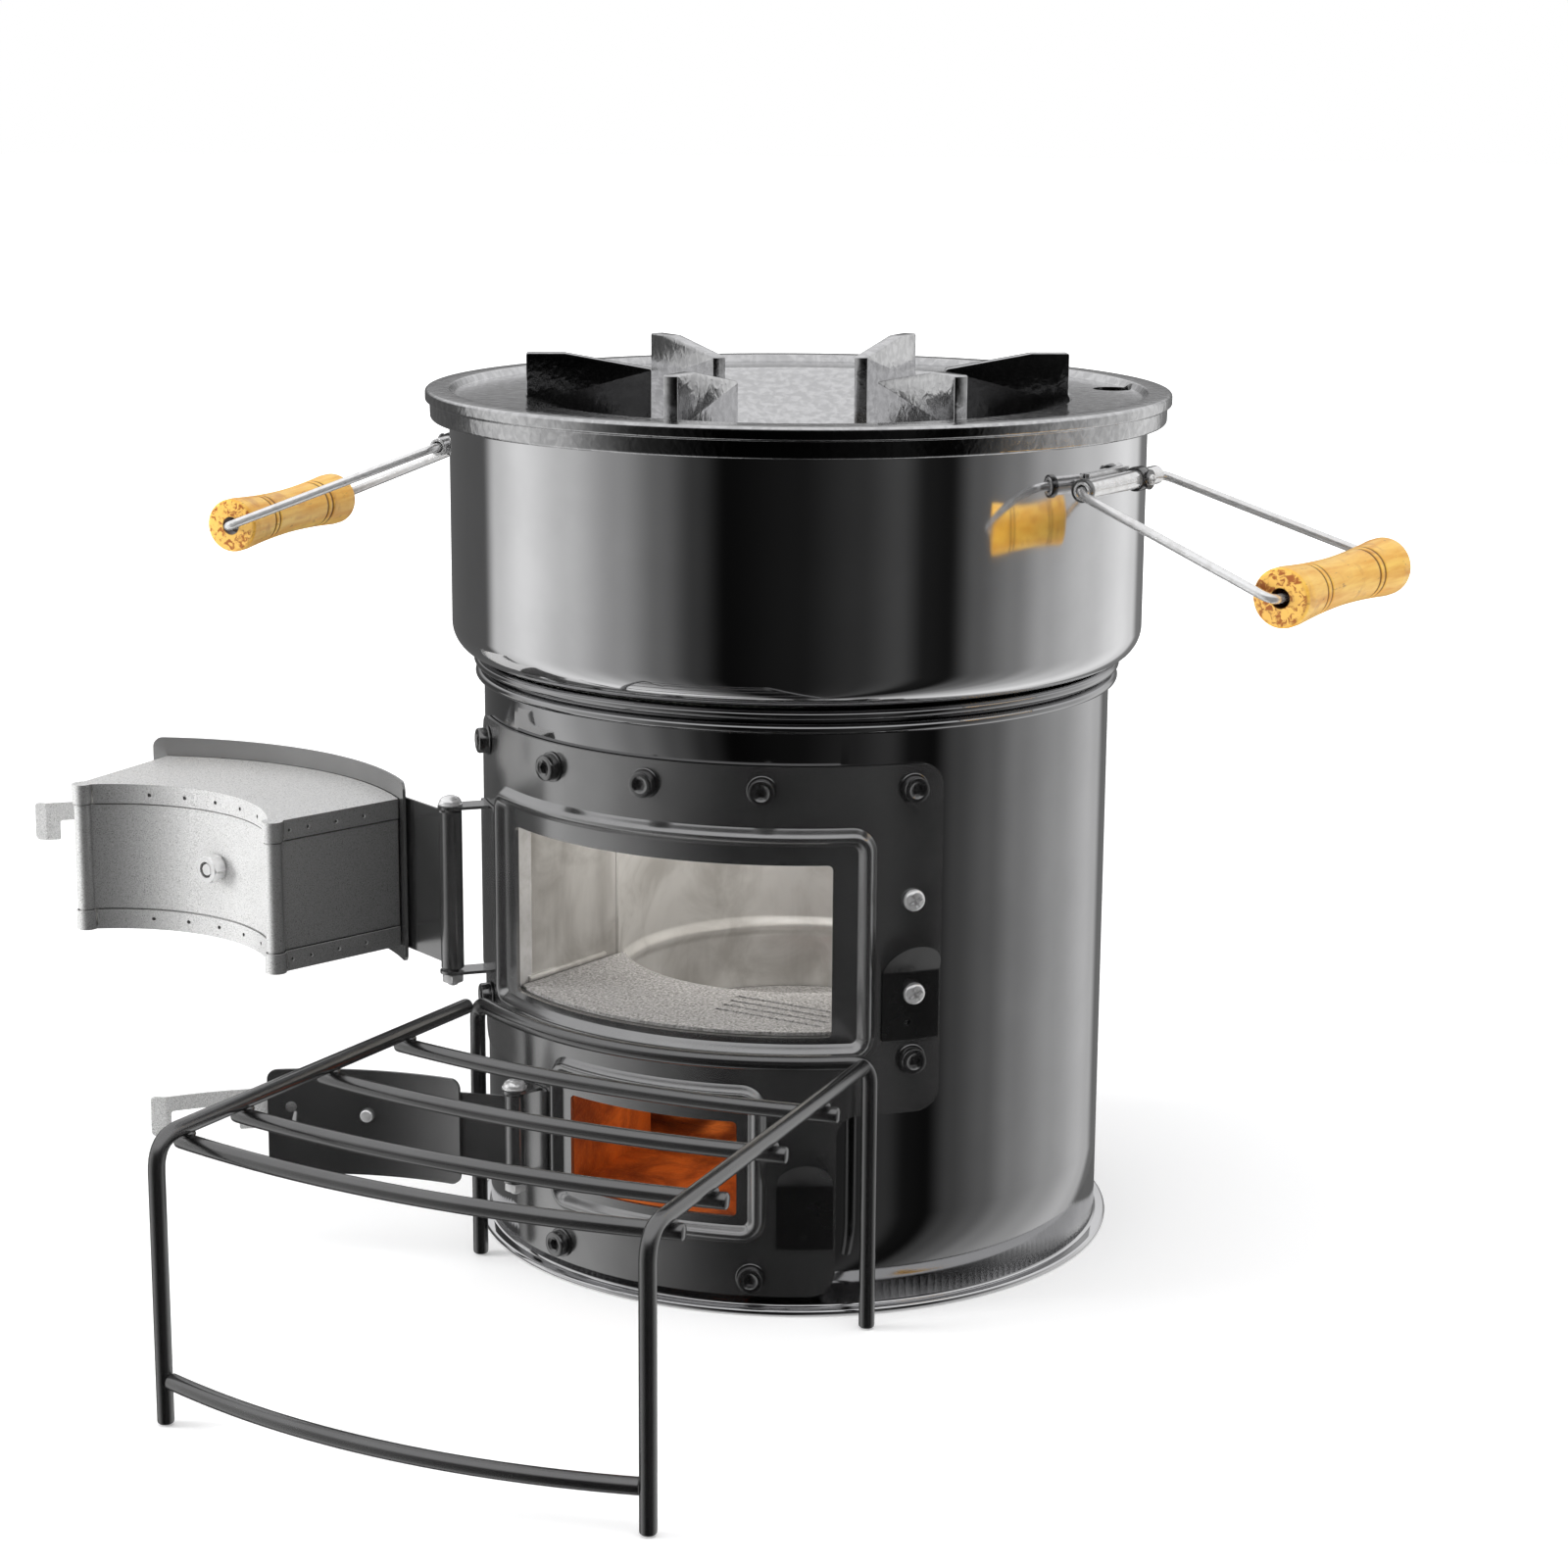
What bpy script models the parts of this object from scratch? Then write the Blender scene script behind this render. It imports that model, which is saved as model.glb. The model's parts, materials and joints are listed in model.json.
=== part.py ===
"""A double-walled rocket stove with two hinged doors, bail handles and a wire fuel rack.

Metres, +Z up. The origin is on the stove's axis at the floor and the doors face -Y.
Angles called "theta" are degrees about the axis from the front (-Y), positive towards +X.
Both doors are modelled shut and then swung open about their hinge pins.
"""
import math

import bmesh
import bpy
from mathutils import Matrix, Vector

# Driving dimensions -----------------------------------------------------------------
GAP = 0.0003                 # air between neighbouring pieces
SHEET = 0.0008               # shell sheet thickness
BARREL_R = 0.125             # lower barrel, outside
SHELL_R = 0.1374             # wide upper shell, outside
FLANGE_R = 0.1296            # rolled base flange
NECK_Z = 0.2345              # where the upper shell sits on the lower barrel
RIM_Z = 0.3383               # top face of the cast plate's rim
RIM_R = 0.1467
FIN_R = 0.107                # outer edge of the pot-support fins
FIN_TOP = 0.0132             # how far the fins stand above the rim
LIFTING_HOLE = (127.5, 0.1288, 0.0077)   # theta, distance from the axis, radius
RISER_R = 0.051              # chimney tube, outside
CHAMBER_R = 0.0735           # fire chamber, outside
LINER_SHEET = 0.001
CHAMBER_FOOT = 0.0645        # bottom edge of the fire chamber
HEARTH_Z = 0.0715            # top of the floor round the grate
HEARTH_R = 0.0720            # hearth and ash pot, outside
SILL_Z = 0.1102              # top of the refractory along the feed duct
DUCT_THROAT_Y = -0.0455      # where the duct's width is set, at the chamber and at the front
DUCT_MOUTH_Y = -0.1084
DUCT_ENDS = (-0.030, -0.140)             # rear and front y of the block that cuts the duct

PANEL_IN = 0.1254            # front panel, inside and outside radius
PANEL_OUT = 0.1268
RIDGE_R = 0.1300             # crest of the pressed frames round the openings
PANEL_WIDE = 51.6            # half angles of the T-shaped panel
PANEL_NARROW = 33.4
PANEL_Z = (0.0066, 0.078, 0.212)

FEED_OPENING = (32.4, 0.109, 0.175)      # half angle, bottom, top
FEED_FRAME = (39.8, 0.0995, 0.189)
ASH_OPENING = (16.4, 0.038, 0.0755)
ASH_FRAME = (21.5, 0.0275, 0.090)
FRAME_WIDTH = 0.0055

DOOR_IN = 0.1272             # door skins, inside and outside radius
DOOR_OUT = 0.1284
FEED_SKIN = (34.3, 0.1075, 0.1818)
ASH_SKIN = (17.6, 0.0343, 0.0773)
FEED_HINGE = (-45.55, 0.1426)            # theta, radius of the hinge pin
ASH_HINGE = (-26.1, 0.1368)
FEED_OPEN = 190.0
ASH_OPEN = 162.0
FEED_EARS = (0.1100, 0.1780)             # bottom and top faces of the hinge brackets
ASH_EARS = (0.0370, 0.0745)
EAR = 0.0012

BOX_FRONT = (50.6, 0.0716)               # concave face of the feed door's box
BOX_BACK = (31.5, 0.1269)
BOX_Z = (0.1131, 0.1740)
FEED_BOLT_Z = 0.1429
ASH_BOLT_Z = 0.0590

LATCH_IN = 0.1312            # latch bars, inside and outside radius
LATCH_OUT = 0.1322
FEED_LATCH = (-5.0, 56.5, 0.1373, 0.1533)
FEED_NOTCH = (40.2, 52.2, 0.1456)
ASH_LATCH = (-9.0, 37.0, 0.0525, 0.0685)
ASH_NOTCH = (22.4, 34.0, 0.0626)
FEED_CATCH = (40.9, 51.0, 0.107, 0.1325, 0.1450)
ASH_CATCH = (23.3, 32.9, 0.026, 0.0503, 0.0620)

BOLT_HEAD_R = 0.005
BOLT_SHANK_R = 0.0028
TOP_BOLTS = [(theta, 0.2030) for theta in (-46.0, -20.5, 0.0, 20.5, 46.0)]
SIDE_BOLTS = [(-46.2, 0.0990), (46.2, 0.0990)]
FOOT_BOLTS = [(-19.0, 0.0140), (19.0, 0.0140)]
CATCH_SCREWS = [(46.3, 0.1605, PANEL_OUT), (46.3, 0.1250, 0.1282)]
SCREW_HEAD_R = 0.004
SCREW_SHANK_R = 0.0018

HANDLE_THETA = 83.0
HANDLE_R = 0.1430            # pivot of the bail handles
HANDLE_Z = 0.311
HANDLE_ARM = 0.0925
LEFT_DROOP = 21.8            # how far each handle's arms hang below level at rest
RIGHT_DROOP = 18.3
BAIL_R = 0.00175
GRIP_HALF = 0.046
PIVOT_HALF = 0.034

RACK_X = 0.002              # centre line of the fuel rack
RACK_ROD = 0.003
RACK_TOP = 0.1040            # centre height of its rails
RACK_REAR = (0.0845, -0.113)  # half width and y of the rear legs
RACK_FRONT = (0.0955, -0.3040)
RACK_BARS = (-0.157, -0.204, -0.254)
BRACE_Z = 0.016

RING_STEPS = 48              # facets round the shells and round the inner pieces
INNER_STEPS = 36
BOLT_STEPS = 8
WRAP_STEP = 5.0


# Small helpers ----------------------------------------------------------------------
def polar(theta, radius, z=0.0):
    """Point at an angle from the front of the stove."""
    angle = math.radians(theta)
    return Vector((radius * math.sin(angle), -radius * math.cos(angle), z))


def arc_length(theta):
    """Length along the panel's outside for an angle: the unrolled coordinate."""
    return math.radians(theta) * PANEL_OUT


def material(name, colour, roughness, metallic):
    """A Principled BSDF material."""
    result = bpy.data.materials.new(name)
    result.use_nodes = True
    shader = result.node_tree.nodes["Principled BSDF"]
    shader.inputs["Base Color"].default_value = (*colour, 1.0)
    shader.inputs["Roughness"].default_value = roughness
    shader.inputs["Metallic"].default_value = metallic
    result.diffuse_color = (*colour, 1.0)
    return result


def add_object(name, bm, finish, parent=None):
    """Turn a bmesh into an object; a parent empty sits on the piece's joint axis."""
    bmesh.ops.remove_doubles(bm, verts=bm.verts[:], dist=1e-6)
    bmesh.ops.recalc_face_normals(bm, faces=bm.faces[:])
    bmesh.ops.triangulate(bm, faces=[f for f in bm.faces if len(f.verts) > 4])
    mesh = bpy.data.meshes.new(name)
    bm.to_mesh(mesh)
    bm.free()
    mesh.shade_smooth()
    mesh.set_sharp_from_angle(angle=math.radians(35))
    mesh.materials.append(finish)
    result = bpy.data.objects.new(name, mesh)
    bpy.context.scene.collection.objects.link(result)
    if parent is not None:
        result.parent = parent
        result.matrix_parent_inverse = Matrix.Translation(-Vector(parent["pivot"]))
    return result


def combine(bm, other, operation):
    """Cut or join bm with another closed bmesh and return the result."""
    pieces = []
    for source in (bm, other):
        bmesh.ops.remove_doubles(source, verts=source.verts[:], dist=1e-6)
        bmesh.ops.recalc_face_normals(source, faces=source.faces[:])
        mesh = bpy.data.meshes.new("working")
        source.to_mesh(mesh)
        source.free()
        piece = bpy.data.objects.new("working", mesh)
        bpy.context.scene.collection.objects.link(piece)
        pieces.append(piece)
    modifier = pieces[0].modifiers.new("combine", "BOOLEAN")
    modifier.operation = operation
    modifier.solver = "EXACT"
    modifier.object = pieces[1]
    bpy.context.view_layer.update()
    evaluated = pieces[0].evaluated_get(bpy.context.evaluated_depsgraph_get())
    result = bmesh.new()
    result.from_mesh(evaluated.to_mesh())
    evaluated.to_mesh_clear()
    for piece in pieces:
        mesh = piece.data
        bpy.data.objects.remove(piece)
        bpy.data.meshes.remove(mesh)
    return result


def lathe(profile, segments=RING_STEPS, hollow=True):
    """Turn a (radius, z) profile about Z. A hollow profile is a closed outline."""
    bm = bmesh.new()
    verts = [bm.verts.new((radius, 0.0, z)) for radius, z in profile]
    following = verts[1:] + verts[:1] if hollow else verts[1:]
    edges = [bm.edges.new(pair) for pair in zip(verts, following)]
    bmesh.ops.spin(bm, geom=verts + edges, axis=(0, 0, 1), cent=(0, 0, 0),
                   angle=math.tau, steps=segments, use_merge=True)
    bmesh.ops.remove_doubles(bm, verts=bm.verts[:], dist=1e-6)
    return bm


def cylinder(radius, z_low, z_high, segments=16):
    """A solid cylinder on the Z axis."""
    return lathe([(0, z_low), (radius, z_low), (radius, z_high), (0, z_high)],
                 segments, hollow=False)


def prism(outline, z_low, z_high):
    """Extrude a plan outline of (x, y) points upwards."""
    bm = bmesh.new()
    face = bm.faces.new([bm.verts.new((x, y, z_low)) for x, y in outline])
    grown = bmesh.ops.extrude_face_region(bm, geom=[face])
    top = [item for item in grown["geom"] if isinstance(item, bmesh.types.BMVert)]
    bmesh.ops.translate(bm, verts=top, vec=(0, 0, z_high - z_low))
    bmesh.ops.recalc_face_normals(bm, faces=bm.faces[:])
    return bm


def place(bm, matrix):
    """Move a bmesh and return it."""
    bmesh.ops.transform(bm, matrix=matrix, verts=bm.verts[:])
    return bm


def radial_frame(theta, radius, z):
    """Matrix that turns local +Z outwards at a point on the stove's side."""
    outward = polar(theta, 1.0)
    tangent = Vector((0, 0, 1)).cross(outward)
    turn = Matrix((tangent, outward.cross(tangent), outward)).transposed().to_4x4()
    return Matrix.Translation(polar(theta, radius, z)) @ turn


def side_frame(theta, radius, z):
    """Matrix that turns local +X outwards at a point, keeping +Z up."""
    turn = Matrix.Rotation(math.radians(theta - 90), 4, "Z")
    return Matrix.Translation(polar(theta, radius, z)) @ turn


def filleted(corners):
    """Outline through (s, z, fillet radius) corners, with arcs in the corners."""
    points = []
    count = len(corners)
    for index, (s, z, radius) in enumerate(corners):
        here = Vector((s, z))
        before = (Vector(corners[index - 1][:2]) - here).normalized()
        after = (Vector(corners[(index + 1) % count][:2]) - here).normalized()
        if radius == 0:
            points.append(here)
            continue
        half = before.angle(after) / 2
        start = here + before * radius / math.tan(half)
        end = here + after * radius / math.tan(half)
        centre = here + (before + after).normalized() * radius / math.sin(half)
        for step in range(4):
            mixed = start.lerp(end, step / 3) - centre
            points.append(centre + mixed.normalized() * radius)
    return [(point.x, point.y) for point in points]


def rounded_window(opening, grow, radius):
    """Rounded rectangle round an opening, grown on every side."""
    half_angle, low, high = opening
    half = arc_length(half_angle) + grow
    corners = [(-half, low - grow), (half, low - grow), (half, high + grow), (-half, high + grow)]
    return filleted([(s, z, radius) for s, z in corners])


def round_hole(theta, z, radius, sides=8):
    """Circle in unrolled coordinates."""
    turns = [math.tau * step / sides for step in range(sides)]
    return [(arc_length(theta) + radius * math.cos(t), z + radius * math.sin(t)) for t in turns]


def slice_at(bm, point, normal):
    """Add edges where a plane crosses the solid, so that it can bend there."""
    bmesh.ops.bisect_plane(bm, geom=bm.verts[:] + bm.edges[:] + bm.faces[:], dist=1e-7,
                           plane_co=point, plane_no=normal)


def wrap(bm, fold=None):
    """Roll an unrolled solid (s, radius, z) round the stove's axis.

    A fold is (axis index, where it starts, slope): beyond its start along s or z
    the plate leans outwards.
    """
    reach = max(abs(vert.co.x) for vert in bm.verts)
    step = arc_length(WRAP_STEP)
    for index in range(-int(reach / step), int(reach / step) + 1):
        slice_at(bm, (index * step, 0, 0), (1, 0, 0))
    if fold is not None:
        direction = [float(axis == fold[0]) for axis in range(3)]
        slice_at(bm, [fold[1] * part for part in direction], direction)
    bmesh.ops.triangulate(bm, faces=[f for f in bm.faces if len(f.verts) > 4])
    for vert in bm.verts:
        s, radius, z = vert.co
        if fold is not None:
            radius += max(0.0, vert.co[fold[0]] - fold[1]) * fold[2]
        vert.co = polar(math.degrees(s / PANEL_OUT), radius, z)
    return bm


def sheet(outline, holes, inside, outside, fold=None):
    """A curved plate with holes, from unrolled outlines."""
    bm = bmesh.new()
    edges = []
    for loop in [outline, *holes]:
        verts = [bm.verts.new((s, inside, z)) for s, z in loop]
        edges += [bm.edges.new(pair) for pair in zip(verts, verts[1:] + verts[:1])]
    bmesh.ops.triangle_fill(bm, use_beauty=True, edges=edges)
    grown = bmesh.ops.extrude_face_region(bm, geom=bm.faces[:])
    front = [item for item in grown["geom"] if isinstance(item, bmesh.types.BMVert)]
    bmesh.ops.translate(bm, verts=front, vec=(0, outside - inside, 0))
    return wrap(bm, fold)


def frame_ridge(opening):
    """Raised ridge that follows a rounded window."""
    root = PANEL_IN + 0.0004
    section = [(-FRAME_WIDTH, root), (-0.6 * FRAME_WIDTH, RIDGE_R), (-0.4 * FRAME_WIDTH, RIDGE_R),
               (0.0, root)]
    bm = bmesh.new()
    loops = []
    for grow, radius in section:
        outline = rounded_window(opening, grow, 0.009 + grow)
        loops.append([bm.verts.new((s, radius, z)) for s, z in outline])
    for near, far in zip(loops, loops[1:] + loops[:1]):
        for index, vert in enumerate(near):
            bm.faces.new((near[index - 1], vert, far[index], far[index - 1]))
    return wrap(bm)


def rod(path, radius, sides=6, closed=False):
    """Round rod along a path of points."""
    path = [Vector(point) for point in path]
    bm = bmesh.new()
    rings = []
    normal = None
    for index, point in enumerate(path):
        before = path[index - 1] if index or closed else point
        after = path[(index + 1) % len(path)] if index + 1 < len(path) or closed else point
        tangent = ((after - point).normalized() + (point - before).normalized()).normalized()
        if normal is None:
            normal = tangent.orthogonal()
        normal = (normal - tangent * normal.dot(tangent)).normalized()
        side = tangent.cross(normal)
        turns = [math.tau * step / sides for step in range(sides)]
        rings.append([bm.verts.new(point + radius * (normal * math.cos(t) + side * math.sin(t)))
                      for t in turns])
    pairs = list(zip(rings, rings[1:] + rings[:1])) if closed else list(zip(rings, rings[1:]))
    for near, far in pairs:
        for index in range(sides):
            bm.faces.new((near[index - 1], near[index], far[index], far[index - 1]))
    if not closed:
        bm.faces.new(rings[0])
        bm.faces.new(rings[-1])
    return bm


def bent(corners, radius, steps=3):
    """Path through corner points with each inner corner rounded off."""
    corners = [Vector(corner) for corner in corners]
    path = [corners[0]]
    for before, here, after in zip(corners, corners[1:], corners[2:]):
        start = here + (before - here).normalized() * radius
        end = here + (after - here).normalized() * radius
        for step in range(steps + 1):
            t = step / steps
            path.append(start * (1 - t) ** 2 + here * 2 * t * (1 - t) + end * t ** 2)
    path.append(corners[-1])
    return path


def pivot(name, position, parent=None):
    """Empty on a joint axis, aligned with the world while the piece is shut."""
    result = bpy.data.objects.new(name, None)
    result.empty_display_size = 0.02
    result["pivot"] = position[:]
    bpy.context.scene.collection.objects.link(result)
    result.location = position
    if parent is not None:
        result.parent = parent
        result.matrix_parent_inverse = Matrix.Translation(-Vector(parent["pivot"]))
    return result


# Shells and casting -----------------------------------------------------------------
def base_pan(finish):
    """Flat bottom with a rolled flange that holds the barrel's edge."""
    wall = BARREL_R + GAP
    profile = [(0, 0), (0.1285, 0), (FLANGE_R, 0.0022), (0.1285, 0.0045), (wall, 0.0045),
               (wall, 0.0012), (0, 0.0012)]
    add_object("base_pan", lathe(profile, hollow=False), finish)


def bead_points(centre_z, half, proud):
    """Half-round bead on the barrel's outside."""
    angles = [math.radians(a) for a in (-90, -35, 35, 90)]
    return [(BARREL_R + proud * math.cos(a), centre_z + half * math.sin(a)) for a in angles]


def lower_barrel(finish):
    """Barrel with two rolled beads under the upper shell and two windows."""
    outside = [(BARREL_R, 0.0015), (BARREL_R, 0.118)]
    outside += bead_points(0.2262, 0.0024, 0.0034) + bead_points(0.2315, 0.0024, 0.0040)
    inside = [(radius - SHEET, z) for radius, z in reversed(outside)]
    bm = lathe(outside + inside)
    for half_width, low, high in ((0.0690, 0.1072, 0.1768), (0.0372, 0.0362, 0.0773)):
        window = [(-half_width, -0.14), (half_width, -0.14), (half_width, -0.09), (-half_width, -0.09)]
        bm = combine(bm, prism(window, low, high), "DIFFERENCE")
    for theta, z in TOP_BOLTS + SIDE_BOLTS + FOOT_BOLTS:
        hole = place(cylinder(BOLT_SHANK_R + GAP, -0.01, 0.01, 8), radial_frame(theta, BARREL_R, z))
        bm = combine(bm, hole, "DIFFERENCE")
    for theta, z, _ in CATCH_SCREWS:
        hole = place(cylinder(SCREW_SHANK_R + GAP, -0.01, 0.01, 8), radial_frame(theta, BARREL_R, z))
        bm = combine(bm, hole, "DIFFERENCE")
    add_object("lower_barrel", bm, finish)


def upper_shell(finish):
    """Wide shell with a rounded bottom edge and a floor round the riser."""
    corner = 0.012
    angles = [math.radians(a) for a in (90, 60, 30, 0)]
    centre = (SHELL_R - corner, NECK_Z + corner)
    outside = [(centre[0] + corner * math.cos(a), centre[1] - corner * math.sin(a)) for a in angles]
    small = corner - SHEET
    inside = [(centre[0] + small * math.cos(a), centre[1] - small * math.sin(a)) for a in angles]
    top = RIM_Z - 0.0066
    hole = RISER_R + 0.0005
    profile = [(hole, NECK_Z), *outside, (SHELL_R, top), (SHELL_R - SHEET, top),
               *reversed(inside), (hole, NECK_Z + SHEET)]
    add_object("upper_shell", lathe(profile), finish)


def fin(theta):
    """One pot-support fin standing in the plate's bowl."""
    outline = [(0.058, RIM_Z - 0.0241), (0.1005, RIM_Z - 0.0065), (FIN_R, RIM_Z - 0.0043),
               (FIN_R, RIM_Z + FIN_TOP), (0.092, RIM_Z + FIN_TOP), (0.058, RIM_Z + 0.0070)]
    bm = prism(outline, -0.003, 0.003)
    upright = Matrix(((1, 0, 0, 0), (0, 0, -1, 0), (0, 1, 0, 0), (0, 0, 0, 1)))
    return place(bm, side_frame(theta, 0.0, 0.0) @ upright)


def top_plate(finish):
    """Cast plate: stepped rim, recess, funnel to the riser, six fins, a lifting hole."""
    profile = [(0.1380, RIM_Z - 0.0116), (0.1452, RIM_Z - 0.0116), (0.1452, RIM_Z - 0.0048),
               (RIM_R, RIM_Z - 0.0044), (RIM_R, RIM_Z), (0.1365, RIM_Z), (0.1350, RIM_Z - 0.0027),
               (0.108, RIM_Z - 0.0027), (0.1005, RIM_Z - 0.0048), (0.056, RIM_Z - 0.0233),
               (0.050, RIM_Z - 0.0240), (0.050, RIM_Z - 0.0268), (0.056, RIM_Z - 0.0268),
               (0.1010, RIM_Z - 0.0083), (0.108, RIM_Z - 0.0063), (0.1380, RIM_Z - 0.0063)]
    bm = lathe(profile)
    for index in range(6):
        bm = combine(bm, fin(60 * index), "UNION")
    theta, reach, radius = LIFTING_HOLE
    hole = place(cylinder(radius, -0.01, 0.01, 20), Matrix.Translation(polar(theta, reach, RIM_Z)))
    add_object("top_plate", combine(bm, hole, "DIFFERENCE"), finish)


def outline_of_panel():
    """T-shaped outline of the front panel, unrolled."""
    wide = arc_length(PANEL_WIDE)
    narrow = arc_length(PANEL_NARROW)
    low, step, high = PANEL_Z
    return filleted([(-narrow, low, 0.010), (narrow, low, 0.010), (narrow, step, 0.008),
                     (wide, step, 0.009), (wide, high, 0.009), (-wide, high, 0.009),
                     (-wide, step, 0.009), (-narrow, step, 0.008)])


def front_panel(finish):
    """Pressed panel with a raised frame round each opening."""
    holes = [rounded_window(FEED_OPENING, 0.0, 0.002), rounded_window(ASH_OPENING, 0.0, 0.002)]
    holes += [round_hole(theta, z, BOLT_SHANK_R + GAP) for theta, z in
              TOP_BOLTS + SIDE_BOLTS + FOOT_BOLTS]
    holes += [round_hole(theta, z, SCREW_SHANK_R + GAP) for theta, z, _ in CATCH_SCREWS]
    bm = sheet(outline_of_panel(), holes, PANEL_IN, PANEL_OUT)
    for opening in (FEED_FRAME, ASH_FRAME):
        bm = combine(bm, frame_ridge(opening), "UNION")
    add_object("front_panel", bm, finish)


# Inside -----------------------------------------------------------------------------
def duct_volume(mouth_half, throat_half, low, high):
    """Tapered block between the fire chamber and the front, from its half widths at both ends."""
    slope = (mouth_half - throat_half) / (DUCT_THROAT_Y - DUCT_MOUTH_Y)
    rear_y, front_y = DUCT_ENDS
    rear = throat_half + slope * (DUCT_THROAT_Y - rear_y)
    front = throat_half + slope * (DUCT_THROAT_Y - front_y)
    return prism([(-rear, rear_y), (-front, front_y), (front, front_y), (rear, rear_y)], low, high)


def riser_tube(finish):
    """Chimney from the fire chamber to the cast plate."""
    low = 0.2062
    high = RIM_Z - 0.0271
    inner = RISER_R - LINER_SHEET
    profile = [(inner, low), (RISER_R, low), (RISER_R, high), (inner, high)]
    add_object("riser_tube", lathe(profile, INNER_STEPS), finish)


def fire_chamber(finish):
    """Drum with a coned top and a mouth for the feed duct."""
    neck = RISER_R + 0.0015
    inner = CHAMBER_R - LINER_SHEET
    profile = [(CHAMBER_R, CHAMBER_FOOT), (CHAMBER_R, 0.1960), (neck, 0.2058),
               (neck - LINER_SHEET, 0.2050), (inner, 0.1952), (inner, CHAMBER_FOOT)]
    bm = lathe(profile, INNER_STEPS)
    mouth = duct_volume(0.0705, 0.0585, 0.1085, 0.1755)
    add_object("fire_chamber", combine(bm, mouth, "DIFFERENCE"), finish)


def feed_duct(finish):
    """Four-sided tapered duct from the feed opening to the fire chamber."""
    bm = duct_volume(0.0710, 0.0590, 0.1076, 0.1764)
    bm = combine(bm, duct_volume(0.0700, 0.0580, 0.1086, 0.1754), "DIFFERENCE")
    bm = combine(bm, cylinder(BARREL_R - 0.0011, 0.09, 0.19, RING_STEPS), "INTERSECT")
    bm = combine(bm, cylinder(CHAMBER_R + GAP, 0.08, 0.20, INNER_STEPS), "DIFFERENCE")
    add_object("feed_duct", bm, finish)


def chamber_floor(finish):
    """Refractory: a round hearth, an apron up the chamber's front and a sill along the duct."""
    lip = HEARTH_R - 0.0022
    sill = duct_volume(0.0690, 0.0570, SILL_Z - 0.0013, SILL_Z)
    sill = combine(sill, cylinder(BARREL_R - 0.0015, 0.10, 0.12, RING_STEPS), "INTERSECT")
    sill = combine(sill, cylinder(lip + 0.0011, 0.10, 0.12, INNER_STEPS), "DIFFERENCE")
    apron = duct_volume(0.0680, 0.0560, HEARTH_Z - 0.003, SILL_Z - GAP)
    apron = combine(apron, cylinder(HEARTH_R, 0.05, 0.12, INNER_STEPS), "INTERSECT")
    apron = combine(apron, cylinder(lip, 0.05, 0.12, INNER_STEPS), "DIFFERENCE")
    hearth = cylinder(HEARTH_R, HEARTH_Z - 0.006, HEARTH_Z, INNER_STEPS)
    hearth = combine(hearth, cylinder(0.048, 0.05, 0.12, 24), "DIFFERENCE")
    bm = combine(combine(sill, apron, "UNION"), hearth, "UNION")
    add_object("chamber_floor", bm, finish)


def fire_grate(finish):
    """Round iron grate with parallel slots."""
    bm = cylinder(0.0475, HEARTH_Z - 0.0055, HEARTH_Z - 0.0005, 24)
    for index, half in zip(range(-2, 3), (0.024, 0.034, 0.040, 0.034, 0.024)):
        x = index * 0.0155
        slot = [(x - 0.0035, -half), (x + 0.0035, -half), (x + 0.0035, half), (x - 0.0035, half)]
        bm = combine(bm, prism(slot, HEARTH_Z - 0.01, HEARTH_Z + 0.01), "DIFFERENCE")
    add_object("fire_grate", bm, finish)


def ash_liner(finish):
    """Clay liner: a tall passage from the ash opening that runs under the fire chamber."""
    floor = 0.0318
    bm = duct_volume(0.0435, 0.0435, floor, 0.0825)
    bm = combine(bm, cylinder(BARREL_R - 0.0015, 0.02, 0.09, RING_STEPS), "INTERSECT")
    step = CHAMBER_FOOT - GAP
    bm = combine(bm, cylinder(CHAMBER_R + 0.0005, step, 0.09, INNER_STEPS), "DIFFERENCE")
    bm = combine(bm, cylinder(HEARTH_R, floor, step, INNER_STEPS), "UNION")
    bm = combine(bm, cylinder(0.0660, 0.0375, 0.1, INNER_STEPS), "DIFFERENCE")
    bm = combine(bm, duct_volume(0.0375, 0.0375, 0.0375, 0.0765), "DIFFERENCE")
    add_object("ash_liner", bm, finish)


def insulation(finish):
    """Ceramic wool rings between the liners and the shells."""
    low = NECK_Z + SHEET + GAP
    high = RIM_Z - 0.0275
    profile = [(RISER_R + 0.0005, low), (0.1240, low), (0.1355, low + 0.0125), (0.1355, high),
               (RISER_R + 0.0005, high)]
    add_object("upper_insulation", lathe(profile, INNER_STEPS), finish)
    profile = [(0.0745, 0.0860), (0.1170, 0.0860), (0.1170, 0.2335), (0.0745, 0.2335)]
    bm = combine(lathe(profile, INNER_STEPS), duct_volume(0.0715, 0.0595, 0.1071, 0.1769), "DIFFERENCE")
    add_object("lower_insulation", bm, finish)


# Fasteners --------------------------------------------------------------------------
def socket_bolt(name, theta, radius, z, finish, parent=None):
    """Socket-head bolt pointing inwards from a radius."""
    head = 0.0045
    profile = [(0, -0.0065), (BOLT_SHANK_R, -0.0065), (BOLT_SHANK_R, GAP), (BOLT_HEAD_R, GAP),
               (BOLT_HEAD_R, head), (0.0026, head), (0.0026, head - 0.0022), (0, head - 0.0022)]
    bm = place(lathe(profile, BOLT_STEPS, hollow=False), radial_frame(theta, radius, z))
    add_object(name, bm, finish, parent)


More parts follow.
